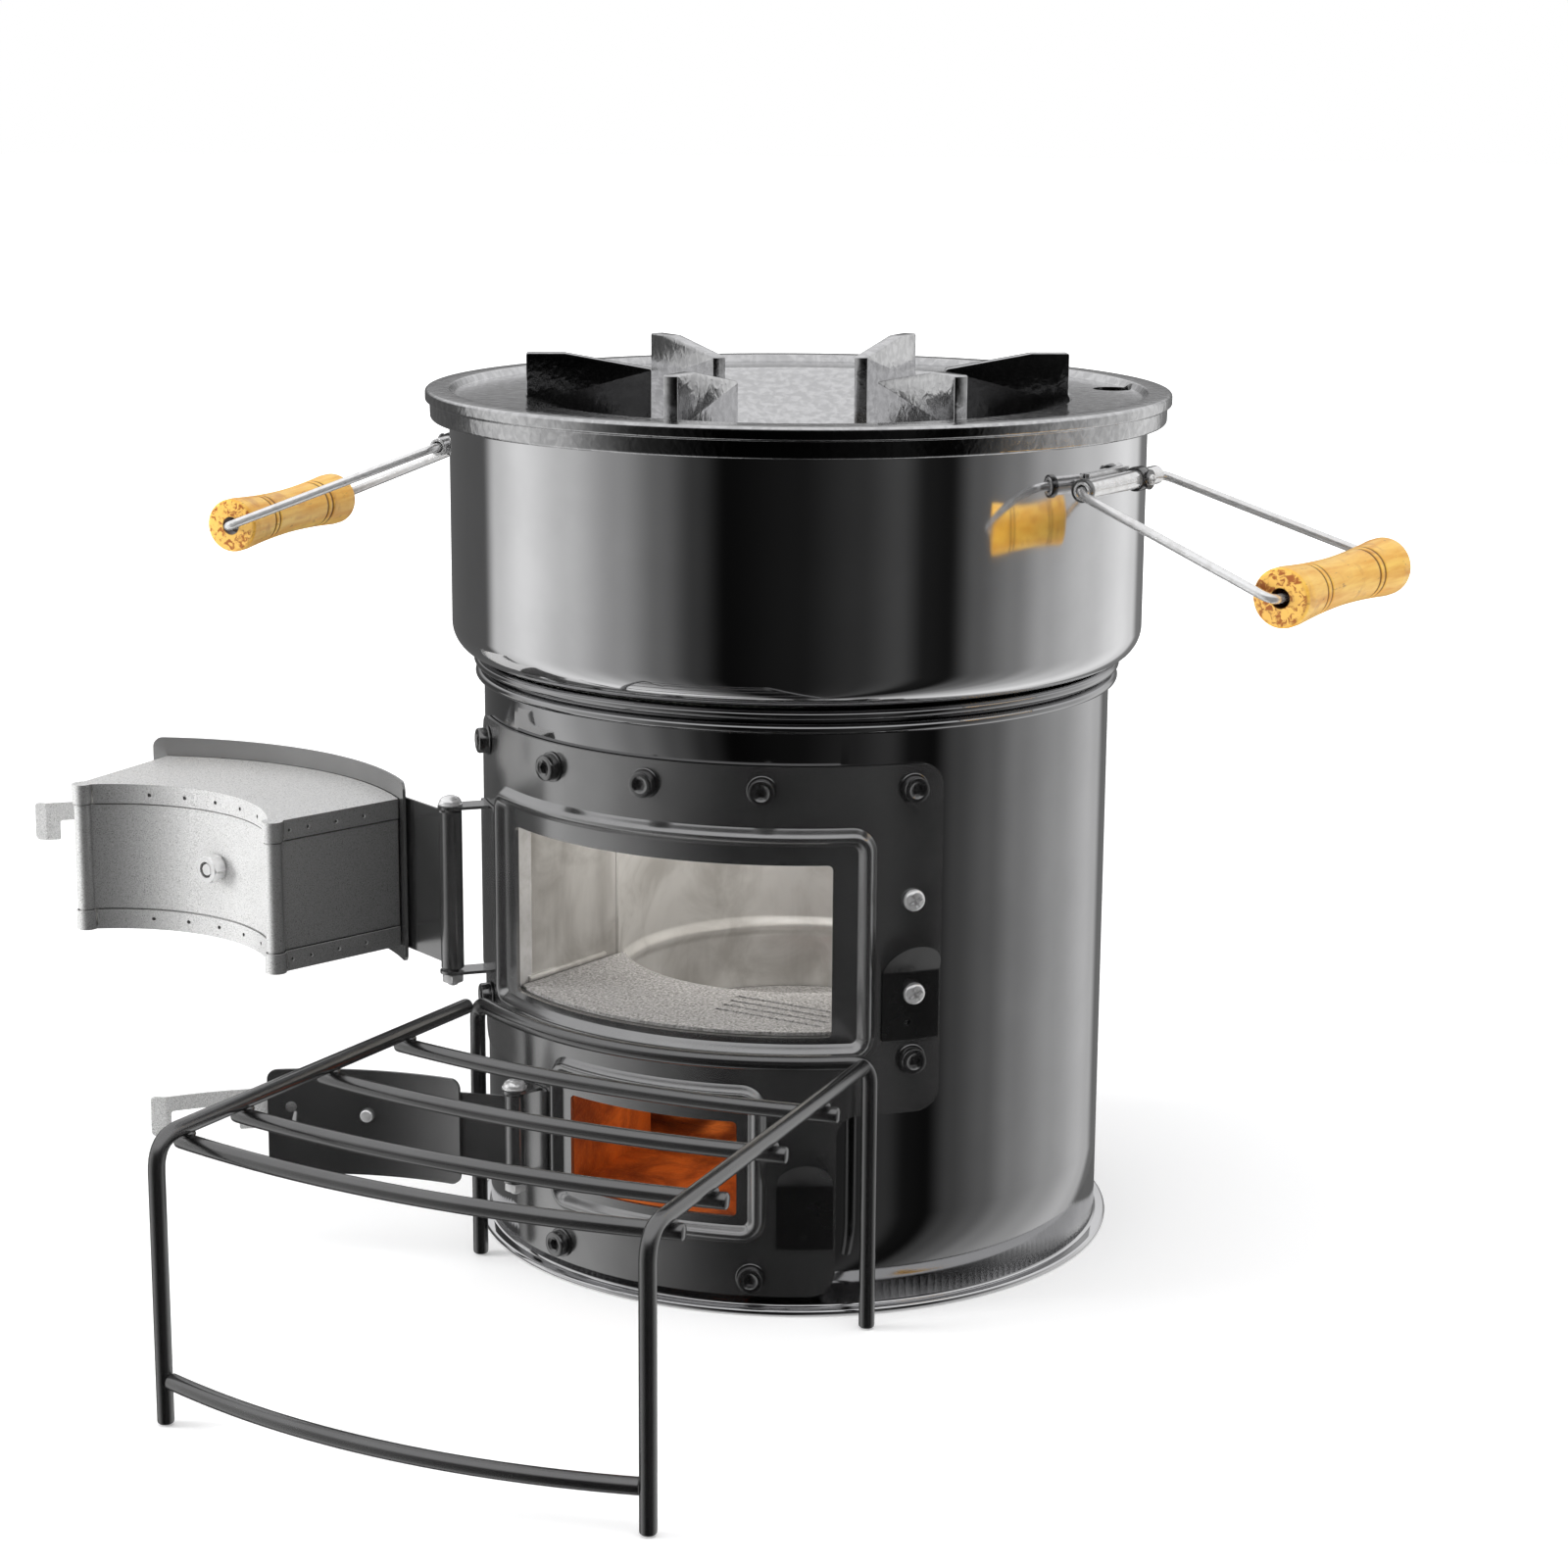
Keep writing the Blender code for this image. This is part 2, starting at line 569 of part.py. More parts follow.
def pan_screw(name, theta, radius, z, length, finish, parent=None):
    """Domed screw pointing inwards from a radius."""
    profile = [(0, -length), (SCREW_SHANK_R, -length), (SCREW_SHANK_R, GAP), (SCREW_HEAD_R, GAP),
               (SCREW_HEAD_R - 0.0003, 0.0014), (SCREW_HEAD_R - 0.0018, 0.0023), (0, 0.0026)]
    bm = place(lathe(profile, BOLT_STEPS, hollow=False), radial_frame(theta, radius, z))
    add_object(name, bm, finish, parent)


def hex_nut(name, matrix, bore, corner, height, finish, parent=None):
    """Hexagon nut standing on local z = 0; the bore is measured to its flats."""
    inner = bore / math.cos(math.radians(30))
    bm = lathe([(inner, 0), (corner, 0), (corner, height), (inner, height)], 6)
    add_object(name, place(bm, matrix), finish, parent)


def fasteners(finish, bright):
    """Bolts and screws that hold the front panel and the catch."""
    for index, (theta, z) in enumerate(TOP_BOLTS + SIDE_BOLTS + FOOT_BOLTS, start=1):
        socket_bolt(f"panel_bolt_{index}", theta, PANEL_OUT, z, finish)
    for index, (theta, z, radius) in enumerate(CATCH_SCREWS, start=1):
        pan_screw(f"catch_screw_{index}", theta, radius, z, 0.006, bright)


def catch(name, span, finish, holes):
    """Plate on the panel whose round top leans out to hold a latch bar."""
    left, right, low, fold, top = span
    half = arc_length(right - left) / 2
    middle = arc_length((left + right) / 2)
    outline = [(middle - half, low), (middle + half, low)]
    for step in range(9):
        angle = math.radians(180 * step / 8)
        outline.append((middle + half * math.cos(angle), fold + (top - fold) * math.sin(angle)))

    bm = sheet(outline, holes, PANEL_OUT + GAP, PANEL_OUT + GAP + 0.001, (2, fold, 0.72))
    add_object(name, bm, finish)


# Hinges, doors and latches ----------------------------------------------------------
def hinge_bracket(name, hinge, ears, half_angle, finish):
    """Plate on the panel with an ear above and below the door's sleeve."""
    theta, radius = hinge
    low, high = ears
    edge = [(arc_length(theta - half_angle), low), (arc_length(theta + half_angle), low),
            (arc_length(theta + half_angle), high), (arc_length(theta - half_angle), high)]
    bm = sheet(edge, [], PANEL_OUT + GAP, PANEL_OUT + 0.0015)
    for bottom in (low, high - EAR):
        outline = [(0.1275, -0.005), (radius, -0.005)]
        for step in range(1, 6):
            angle = math.radians(-90 + 30 * step)
            outline.append((radius + 0.005 * math.cos(angle), 0.005 * math.sin(angle)))
        outline += [(radius, 0.005), (0.1275, 0.005)]
        ear = place(prism(outline, bottom, bottom + EAR), side_frame(theta, 0.0, 0.0))
        bm = combine(bm, ear, "UNION")
    hole = place(cylinder(0.0024, low - 0.01, high + 0.01, 12),
                 Matrix.Translation(polar(theta, radius)))
    add_object(name, combine(bm, hole, "DIFFERENCE"), finish)


def hinge_pin(name, hinge, ears, finish):
    """Bolt through the ears, domed head up."""
    low, high = ears
    theta, radius = hinge
    profile = [(0, low - 0.005), (0.0021, low - 0.005), (0.0021, high + GAP), (0.0046, high + GAP),
               (0.0042, high + 0.0022), (0.0026, high + 0.0034), (0, high + 0.0038)]
    bm = place(lathe(profile, BOLT_STEPS, hollow=False), Matrix.Translation(polar(theta, radius)))
    add_object(f"{name}_pin", bm, finish)


def hinge_nut(name, hinge, ears, finish):
    """Nut under the lower ear."""
    theta, radius = hinge
    seat = Matrix.Translation(polar(theta, radius, ears[0] - GAP - 0.0032))
    hex_nut(f"{name}_nut", seat, 0.0024, 0.0046, 0.0032, finish)


def door_leaf(name, hinge, ears, foot, sleeve_r, holes, finish, parent):
    """Rolled sleeve on the hinge pin with a strap fixed to the door's skin."""
    theta, radius = hinge
    low = ears[0] + EAR + 0.0008
    high = ears[1] - EAR - 0.0008
    near, far = foot
    strap_in = DOOR_OUT + GAP
    bm = sheet([(arc_length(near), low + 0.001), (arc_length(far), low + 0.001),
                (arc_length(far), high - 0.001), (arc_length(near), high - 0.001)],
               holes, strap_in, strap_in + 0.001)
    start = polar(near + 0.6, strap_in + 0.0005)
    end = polar(theta, radius)
    along = (end - start).normalized()
    across = Vector((-along.y, along.x, 0)) * 0.0005
    stop = end - along * (sleeve_r - 0.0006)
    web = [start + across, start - across, stop - across, stop + across]
    web = prism([(point.x, point.y) for point in web], low + 0.001, high - 0.001)
    bm = combine(bm, web, "UNION")
    tube = lathe([(0.0025, low), (sleeve_r, low), (sleeve_r, high), (0.0025, high)], 12)
    bm = combine(bm, place(tube, Matrix.Translation(end)), "UNION")
    add_object(name, bm, finish, parent)


def box_plan(inset, back_radius):
    """Plan of the feed door's box: concave front, tapered sides, round back."""
    half_angle, front_radius = BOX_FRONT
    front_radius += inset
    back_angle = BOX_BACK[0]
    front_half = polar(half_angle, BOX_FRONT[1]).x - inset
    back_half = polar(back_angle, BOX_BACK[1]).x - inset
    front_angle = math.degrees(math.asin(front_half / front_radius))
    slope = (back_half - front_half) / 0.0630
    back_half += slope * (back_radius - BOX_BACK[1])
    back_angle = math.degrees(math.asin(back_half / back_radius))
    points = [polar(front_angle * step / 6, front_radius) for step in range(-6, 7)]
    points += [polar(back_angle * step / 5, back_radius) for step in range(5, -6, -1)]
    return [(point.x, point.y) for point in points]


def feed_door(black, zinc, wool, bright, parent):
    """Skin, insulated box, centre bolt and nut of the feed door."""
    bolt_hole = 0.0028
    holes = [round_hole(0, FEED_BOLT_Z, bolt_hole)]
    skin = sheet(rounded_window(FEED_SKIN, 0.0, 0.004), holes, DOOR_IN, DOOR_OUT)
    add_object("feed_door_skin", skin, black, parent)
    low, high = BOX_Z
    hole_frame = radial_frame(0, 0.10, FEED_BOLT_Z)
    walls = prism(box_plan(0.0009, 0.1268), low + 0.0011, high - 0.0011)
    walls = combine(walls, prism(box_plan(0.0017, 0.140), low - 0.01, high + 0.01), "DIFFERENCE")
    walls = combine(walls, place(cylinder(bolt_hole, -0.05, 0.05, 12), hole_frame), "DIFFERENCE")
    add_object("feed_door_box", walls, zinc, parent)
    for name, bottom, top, cut_low, cut_high in (
            ("feed_door_box_top", high - 0.008, high, high - 0.02, high - SHEET),
            ("feed_door_box_bottom", low, low + 0.008, low + SHEET, low + 0.02)):
        cap = prism(box_plan(0.0, 0.1268), bottom, top)
        cap = combine(cap, prism(box_plan(0.0006, 0.140), cut_low, cut_high), "DIFFERENCE")
        add_object(name, cap, zinc, parent)
    core = prism(box_plan(0.0022, 0.1262), low + 0.0014, high - 0.0014)
    core = combine(core, place(cylinder(bolt_hole, -0.06, 0.06, 12), hole_frame), "DIFFERENCE")
    add_object("feed_door_insulation", core, wool, parent)
    nut_r = BOX_FRONT[1] - GAP
    profile = [(0, nut_r - 0.0065), (0.0025, nut_r - 0.0065), (0.0025, LATCH_OUT + GAP),
               (0.0050, LATCH_OUT + GAP), (0.0047, LATCH_OUT + 0.0022), (0, LATCH_OUT + 0.0030)]
    bolt = place(lathe(profile, BOLT_STEPS, hollow=False), radial_frame(0, 0, FEED_BOLT_Z))
    add_object("feed_door_bolt", bolt, bright, parent)
    seat = radial_frame(0, nut_r - 0.0050, FEED_BOLT_Z)
    hex_nut("feed_door_nut", seat, bolt_hole, 0.0060, 0.0050, bright, parent)


def ash_door(black, bright, parent):
    """Skin, leaf screw and latch pivot of the ash door."""
    screw = (-9.5, 0.0440)
    holes = [round_hole(0, ASH_BOLT_Z, 0.0028), round_hole(*screw, SCREW_SHANK_R + GAP),
             round_hole(13.5, 0.0620, 0.0022)]
    skin = sheet(rounded_window(ASH_SKIN, 0.0, 0.004), holes, DOOR_IN, DOOR_OUT)
    add_object("ash_door_skin", skin, black, parent)
    pan_screw("ash_door_screw", *(screw[0], DOOR_OUT + 0.0013, screw[1]), 0.0035, bright, parent)
    profile = [(0, DOOR_IN - 0.0020), (0.0025, DOOR_IN - 0.0020), (0.0025, LATCH_OUT + GAP),
               (0.0050, LATCH_OUT + GAP), (0.0047, LATCH_OUT + 0.0022), (0, LATCH_OUT + 0.0030)]
    bolt = place(lathe(profile, BOLT_STEPS, hollow=False), radial_frame(0, 0, ASH_BOLT_Z))
    add_object("ash_latch_pivot", bolt, bright, parent)


def latch_bar(name, span, notch, bolt_z, bend_from, finish, parent):
    """Flat bar outside a door, notched over the catch, its end bent outwards."""
    left, right, low, high = span
    cut_left, cut_right, cut_top = notch
    outline = [(arc_length(left), low), (arc_length(cut_left), low), (arc_length(cut_left), cut_top),
               (arc_length(cut_right), cut_top), (arc_length(cut_right), low),
               (arc_length(right), low), (arc_length(right), high), (arc_length(left), high)]
    fold = (0, arc_length(bend_from), 0.7)
    bm = sheet(outline, [round_hole(0, bolt_z, 0.0028)], LATCH_IN, LATCH_OUT, fold)
    add_object(name, bm, finish, parent)


# Handles ----------------------------------------------------------------------------
def handle(side, theta, droop_angle, chrome, wood):
    """Bracket, wire bail and wooden grip of one handle."""
    centre = polar(theta, HANDLE_R, HANDLE_Z)
    axis = pivot(f"{side}_handle_axis", centre)
    frame = side_frame(theta, HANDLE_R, HANDLE_Z)
    lying = Matrix.Rotation(math.radians(90), 4, "X")
    tube = place(lathe([(0.0023, -0.030), (0.0036, -0.030), (0.0036, 0.030), (0.0023, 0.030)], 12),
                 lying)
    web = prism([(-0.0066, -0.008), (-0.0028, -0.008), (-0.0028, 0.008), (-0.0066, 0.008)],
                -0.0012, 0.0012)
    plate = prism([(-0.0070, -0.016), (-0.0042, -0.016), (-0.0042, 0.016), (-0.0070, 0.016)],
                  -0.0045, 0.0045)
    curve = place(cylinder(SHELL_R + GAP, HANDLE_Z - 0.02, HANDLE_Z + 0.02, 128), frame.inverted())
    bm = combine(combine(tube, web, "UNION"), plate, "UNION")
    bm = combine(bm, curve, "DIFFERENCE")
    add_object(f"{side}_handle_bracket", place(bm, frame), chrome)

    droop = Matrix.Rotation(math.radians(droop_angle), 4, "Y")
    wide = GRIP_HALF + 0.006
    corners = [(0, 0, 0), (0, PIVOT_HALF, 0), (HANDLE_ARM, wide, 0), (HANDLE_ARM, -wide, 0),
               (0, -PIVOT_HALF, 0), (0, -0.001, 0)]
    path = [frame @ droop @ point for point in bent(corners, 0.005, 3)]
    add_object(f"{side}_bail", rod(path, BAIL_R, closed=True), chrome, axis)

    half = [(0.0105, GRIP_HALF), (0.0108, 0.038), (0.0090, 0.018)]
    outside = half + [(radius, -z) for radius, z in reversed(half)]
    profile = outside + [(0.0023, -GRIP_HALF), (0.0023, GRIP_HALF)]
    grip = place(lathe(profile, 12), Matrix.Translation((HANDLE_ARM, 0, 0)) @ lying)
    add_object(f"{side}_grip", place(grip, frame @ droop), wood, axis)


# Fuel rack --------------------------------------------------------------------------
def rack_edge(y):
    """Half width of the rack at a distance in front of the stove."""
    share = (y - RACK_REAR[1]) / (RACK_FRONT[1] - RACK_REAR[1])
    return RACK_REAR[0] + share * (RACK_FRONT[0] - RACK_REAR[0])


def bowed(y, half, bow, z, steps=6):
    """Cross rod that bows towards the front."""
    shares = [-1 + 2 * step / steps for step in range(steps + 1)]
    return [(RACK_X + half * share, y - bow * (1 - share ** 2), z) for share in shares]


def fuel_rack(finish):
    """Wire shelf in front of the feed opening that carries long fuel."""
    rear_half, rear_y = RACK_REAR
    front_half, front_y = RACK_FRONT
    clearance = 2 * RACK_ROD + GAP
    for side, sign in (("left", -1), ("right", 1)):
        start_y = rear_y - clearance
        path = bent([(RACK_X + sign * rack_edge(start_y), start_y, RACK_TOP),
                     (RACK_X + sign * front_half, front_y, RACK_TOP),
                     (RACK_X + sign * front_half, front_y, 0.0)], 0.012)
        add_object(f"rack_rail_{side}", rod(path, RACK_ROD), finish)
    hoop = bowed(rear_y, rear_half, 0.0285, RACK_TOP, 8)
    left = bent([(*hoop[0][:2], 0.0), hoop[0], hoop[1]], 0.006)
    right = bent([hoop[-2], hoop[-1], (*hoop[-1][:2], 0.0)], 0.006)
    add_object("rack_rear_hoop", rod([*left, *hoop[2:-2], *right], RACK_ROD), finish)
    for index, y in enumerate(RACK_BARS, start=1):
        path = bowed(y, rack_edge(y) + 0.006, 0.010, RACK_TOP - clearance)
        add_object(f"rack_bar_{index}", rod(path, RACK_ROD), finish)
    y = front_y + 0.018
    path = bowed(y, rack_edge(y) + 0.005, 0.012, RACK_TOP - clearance)
    add_object("rack_front_bar", rod(path, RACK_ROD), finish)
    half = front_half - RACK_ROD - GAP
    add_object("rack_brace", rod(bowed(front_y, half, 0.014, BRACE_Z), RACK_ROD), finish)


# Assembly ---------------------------------------------------------------------------
def swing_open(axis, angle):
    """Turn a door's empty about its hinge pin, clockwise seen from above."""
    axis.rotation_euler.z = -math.radians(angle)


def main():
    """Build every piece of the stove."""
    for item in list(bpy.data.objects):
        bpy.data.objects.remove(item)
    polished = material("black_polished_steel", (0.03, 0.03, 0.032), 0.15, 0.9)
    black = material("black_enamel", (0.02, 0.02, 0.02), 0.35, 0.4)
    iron = material("cast_iron", (0.05, 0.05, 0.052), 0.5, 0.7)
    liner = material("bare_steel", (0.45, 0.43, 0.40), 0.45, 0.9)
    zinc = material("galvanised_steel", (0.60, 0.60, 0.60), 0.4, 1.0)
    chrome = material("bright_steel", (0.75, 0.75, 0.75), 0.2, 1.0)
    fire_clay = material("refractory", (0.42, 0.41, 0.39), 0.95, 0.0)
    terracotta = material("terracotta", (0.50, 0.17, 0.05), 0.8, 0.0)
    wool = material("ceramic_wool", (0.75, 0.74, 0.70), 1.0, 0.0)
    wood = material("wood", (0.72, 0.42, 0.13), 0.45, 0.0)

    base_pan(chrome)
    lower_barrel(polished)
    upper_shell(polished)
    top_plate(iron)
    front_panel(black)
    riser_tube(liner)
    fire_chamber(liner)
    feed_duct(liner)
    chamber_floor(fire_clay)
    fire_grate(iron)
    ash_liner(terracotta)
    insulation(wool)
    fasteners(black, chrome)
    screw_theta, screw_z, _ = CATCH_SCREWS[1]
    catch("feed_catch", FEED_CATCH, black, [round_hole(screw_theta, screw_z, SCREW_SHANK_R + GAP)])
    catch("ash_catch", ASH_CATCH, black, [])

    for name, hinge, ears, half_angle in (("feed_hinge", FEED_HINGE, FEED_EARS, 4.8),
                                          ("ash_hinge", ASH_HINGE, ASH_EARS, 3.6)):
        hinge_bracket(f"{name}_bracket", hinge, ears, half_angle, black)
        hinge_pin(name, hinge, ears, chrome)
        hinge_nut(name, hinge, ears, chrome)

    feed_axis = pivot("feed_door_axis", polar(*FEED_HINGE))
    feed_latch_axis = pivot("feed_latch_axis", polar(0, LATCH_IN, FEED_BOLT_Z), feed_axis)
    feed_door(black, zinc, wool, chrome, feed_axis)
    door_leaf("feed_door_leaf", FEED_HINGE, FEED_EARS, (-33.0, -26.0), 0.0045, [], black, feed_axis)
    latch_bar("feed_latch_bar", FEED_LATCH, FEED_NOTCH, FEED_BOLT_Z, 54.4, zinc, feed_latch_axis)
    swing_open(feed_axis, FEED_OPEN)

    ash_axis = pivot("ash_door_axis", polar(*ASH_HINGE))
    ash_latch_axis = pivot("ash_latch_axis", polar(0, LATCH_IN, ASH_BOLT_Z), ash_axis)
    ash_door(black, chrome, ash_axis)
    ash_screw = round_hole(-9.5, 0.0440, SCREW_SHANK_R + GAP)
    door_leaf("ash_door_leaf", ASH_HINGE, ASH_EARS, (-16.5, -7.5), 0.0038, [ash_screw], black,
              ash_axis)
    latch_bar("ash_latch_bar", ASH_LATCH, ASH_NOTCH, ASH_BOLT_Z, 34.6, zinc, ash_latch_axis)
    swing_open(ash_axis, ASH_OPEN)

    handle("left", -HANDLE_THETA, LEFT_DROOP, chrome, wood)
    handle("right", HANDLE_THETA, RIGHT_DROOP, chrome, wood)
    fuel_rack(black)


main()
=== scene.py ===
"""Looks of the rocket stove: fine surfaces, procedural finishes, studio light and camera.

Metres, +Z up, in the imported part's own frame. Angles called "theta" are degrees about the
stove's axis from the front (-Y), positive towards +X. Door pieces are shaped shut and then
swung to the open rest position. Dimensions repeat the part's own.
"""
import json
import math

import bmesh
import bpy
from mathutils import Matrix, Vector

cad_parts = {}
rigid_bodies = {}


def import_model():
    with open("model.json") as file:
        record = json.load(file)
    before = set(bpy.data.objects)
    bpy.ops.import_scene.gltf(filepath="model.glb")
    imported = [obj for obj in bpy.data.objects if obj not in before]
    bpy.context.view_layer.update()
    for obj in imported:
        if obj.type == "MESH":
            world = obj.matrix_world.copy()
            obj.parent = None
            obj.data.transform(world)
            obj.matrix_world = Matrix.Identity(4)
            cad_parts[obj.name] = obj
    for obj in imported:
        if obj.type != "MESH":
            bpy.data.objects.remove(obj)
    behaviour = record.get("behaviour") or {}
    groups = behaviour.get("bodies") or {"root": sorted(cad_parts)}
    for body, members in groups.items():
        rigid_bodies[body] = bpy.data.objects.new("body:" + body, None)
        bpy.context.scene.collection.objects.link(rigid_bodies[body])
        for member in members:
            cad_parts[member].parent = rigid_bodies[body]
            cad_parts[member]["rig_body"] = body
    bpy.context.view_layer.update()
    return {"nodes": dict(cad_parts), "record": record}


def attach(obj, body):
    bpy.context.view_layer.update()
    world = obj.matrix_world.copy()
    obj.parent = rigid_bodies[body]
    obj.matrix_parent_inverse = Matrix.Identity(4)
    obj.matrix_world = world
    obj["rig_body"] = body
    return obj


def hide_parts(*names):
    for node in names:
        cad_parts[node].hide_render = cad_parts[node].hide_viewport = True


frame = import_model()
NODES = frame["nodes"]
SLOTS = {entry["node"]: entry["material_slot"] for entry in frame["record"]["subparts"]}

# Driving dimensions, as in the part --------------------------------------------------
GAP = 0.0003
SHEET = 0.0008
BARREL_R = 0.125
SHELL_R = 0.1374
FLANGE_R = 0.1296
NECK_Z = 0.2345
RIM_Z = 0.3383
RIM_R = 0.1467
FIN_R = 0.107
FIN_TOP = 0.0132
LIFTING_HOLE = (127.5, 0.1288, 0.0077)
RISER_R = 0.051
CHAMBER_R = 0.0735
CHAMBER_FOOT = 0.0645
HEARTH_Z = 0.0715
HEARTH_R = 0.0720
SILL_Z = 0.1102
DUCT_THROAT_Y = -0.0455
DUCT_MOUTH_Y = -0.1084
DUCT_ENDS = (-0.030, -0.140)
SEAM_FRONT = (0.0677, -0.0990)
SEAM_REAR = (0.0592, -0.0530)
SEAM_Z = 0.1115

PANEL_IN = 0.1254
PANEL_OUT = 0.1268
RIDGE_HEIGHT = 0.0032
RIDGE_WIDTH = 0.0070
PANEL_WIDE = 51.6
PANEL_NARROW = 33.4
PANEL_Z = (0.0066, 0.078, 0.212)
FEED_OPENING = (32.4, 0.109, 0.175)
FEED_FRAME = (39.8, 0.0995, 0.189)
ASH_OPENING = (16.4, 0.038, 0.0755)
ASH_FRAME = (21.5, 0.0275, 0.090)

DOOR_IN = 0.1272
DOOR_OUT = 0.1284
FEED_SKIN = (34.3, 0.1075, 0.1818)
ASH_SKIN = (17.6, 0.0343, 0.0773)
FEED_HINGE = (-45.55, 0.1426)
ASH_HINGE = (-26.1, 0.1368)
FEED_OPEN = 190.0
ASH_OPEN = 162.0
FEED_EARS = (0.1100, 0.1780)
ASH_EARS = (0.0370, 0.0745)
EAR = 0.0012

BOX_FRONT = (50.6, 0.0716)
BOX_BACK = (31.5, 0.1269)
BOX_Z = (0.1131, 0.1740)
BOX_POST_R = 0.0036
POST_INSET = 0.0044
CAP_SKIRT = 0.0080
FEED_BOLT_Z = 0.1429
ASH_BOLT_Z = 0.0590
ASH_SCREW = (-9.5, 0.0440)

LATCH_IN = 0.1312
LATCH_OUT = 0.1322
FEED_LATCH = (-5.0, 56.5, 0.1373, 0.1533)
FEED_NOTCH = (40.2, 52.2, 0.1456)
ASH_LATCH = (-9.0, 37.0, 0.0525, 0.0685)
ASH_NOTCH = (22.4, 34.0, 0.0626)
FEED_CATCH = (40.9, 51.0, 0.107, 0.1325, 0.1450)
ASH_CATCH = (23.3, 32.9, 0.026, 0.0503, 0.0620)

TOP_BOLTS = [(theta, 0.2030) for theta in (-46.0, -20.5, 0.0, 20.5, 46.0)]
SIDE_BOLTS = [(-46.2, 0.0990), (46.2, 0.0990)]
FOOT_BOLTS = [(-19.0, 0.0140), (19.0, 0.0140)]
CATCH_SCREWS = [(46.3, 0.1605, PANEL_OUT), (46.3, 0.1250, 0.1282)]

HANDLE_THETA = 83.0
HANDLE_R = 0.1430
HANDLE_Z = 0.311
HANDLE_ARM = 0.0925
LEFT_DROOP = 21.8
RIGHT_DROOP = 18.3
BAIL_R = 0.00175
GRIP_HALF = 0.046
PIVOT_HALF = 0.034
CLIP_Y = 0.015
GROOVES = (-0.0245, -0.0205, 0.0225, 0.0265)

RACK_X = 0.002
RACK_ROD = 0.003
RACK_TOP = 0.1040
RACK_REAR = (0.0845, -0.113)
RACK_FRONT = (0.0955, -0.3040)
RACK_BARS = (-0.157, -0.204, -0.254)
BRACE_Z = 0.016

RING = 256                   # facets round the shells
WRAP_STEP = 1.0              # degrees between creases of a curved sheet
ROD_SIDES = 20


# Points and outlines -----------------------------------------------------------------
def polar(theta, radius, z=0.0):
    """Point at an angle from the front of the stove."""
    angle = math.radians(theta)
    return Vector((radius * math.sin(angle), -radius * math.cos(angle), z))


def arc_length(theta):
    """Length along the panel's outside for an angle: the unrolled coordinate."""
    return math.radians(theta) * PANEL_OUT


def plan(points):
    """The x and y of some points."""
    return [(point.x, point.y) for point in points]


def all_round(sides):
    """Angles of a circle's corners."""
    return [math.tau * step / sides for step in range(sides)]


def arc(centre, radius, start, end, steps=8):
    """Points on an arc between two angles in degrees."""
    turns = [math.radians(start + (end - start) * step / steps) for step in range(steps + 1)]
    return [(centre[0] + radius * math.cos(t), centre[1] + radius * math.sin(t)) for t in turns]


def filleted(corners, steps=6):
    """Outline through (x, y, fillet radius) corners, with arcs in the corners."""
    points = []
    for index, (x, y, radius) in enumerate(corners):
        here = Vector((x, y))
        if radius == 0:
            points.append(here)
            continue
        before = (Vector(corners[index - 1][:2]) - here).normalized()
        after = (Vector(corners[(index + 1) % len(corners)][:2]) - here).normalized()
        half = before.angle(after) / 2
        start, end = (here + way * radius / math.tan(half) for way in (before, after))
        centre = here + (before + after).normalized() * radius / math.sin(half)
        for step in range(steps + 1):
            mixed = start.lerp(end, step / steps) - centre
            points.append(centre + mixed.normalized() * radius)
    return plan(points)


def rectangle(left, right, low, high, *radii):
    """Rectangle with a fillet radius for each corner, anticlockwise from the lower left."""
    corners = ((left, low), (right, low), (right, high), (left, high))
    return [(*corner, radius) for corner, radius in zip(corners, radii)]


def rounded_window(opening, grow, radius, steps=6):
    """Rounded rectangle round an opening, grown on every side."""
    half_angle, low, high = opening
    half = arc_length(half_angle) + grow
    return filleted(rectangle(-half, half, low - grow, high + grow, *[radius] * 4), steps)


def round_hole(theta, z, radius):
    """Circle in unrolled coordinates."""
    middle = arc_length(theta)
    return [(middle + radius * math.cos(t), z + radius * math.sin(t)) for t in all_round(24)]


def bent(corners, radius, steps=10):
    """Path through corner points with each inner corner rounded off."""
    corners = [Vector(corner) for corner in corners]
    path = [corners[0]]
    for before, here, after in zip(corners, corners[1:], corners[2:]):
        start, end = (here + (other - here).normalized() * radius for other in (before, after))
        for step in range(steps + 1):
            t = step / steps
            path.append(start * (1 - t) ** 2 + here * 2 * t * (1 - t) + end * t ** 2)
    path.append(corners[-1])
    return path


# Frames ------------------------------------------------------------------------------
def radial_frame(theta, radius, z):
    """Matrix that turns local +Z outwards at a point on the stove's side."""
    outward = polar(theta, 1.0)
    tangent = Vector((0, 0, 1)).cross(outward)
    turn = Matrix((tangent, outward.cross(tangent), outward)).transposed().to_4x4()
    return Matrix.Translation(polar(theta, radius, z)) @ turn


def side_frame(theta, radius, z):
    """Matrix that turns local +X outwards at a point, keeping +Z up."""
    turn = Matrix.Rotation(math.radians(theta - 90), 4, "Z")
    return Matrix.Translation(polar(theta, radius, z)) @ turn


def facing(spot, outward):
    """Matrix that puts local +Z along an outward direction."""
    return Matrix.Translation(spot) @ outward.to_track_quat("Z", "Y").to_matrix().to_4x4()


def opened(hinge, angle):
    """Matrix that swings a shut door open about its hinge pin."""
    pin = Matrix.Translation(polar(*hinge))
    return pin @ Matrix.Rotation(-math.radians(angle), 4, "Z") @ pin.inverted()


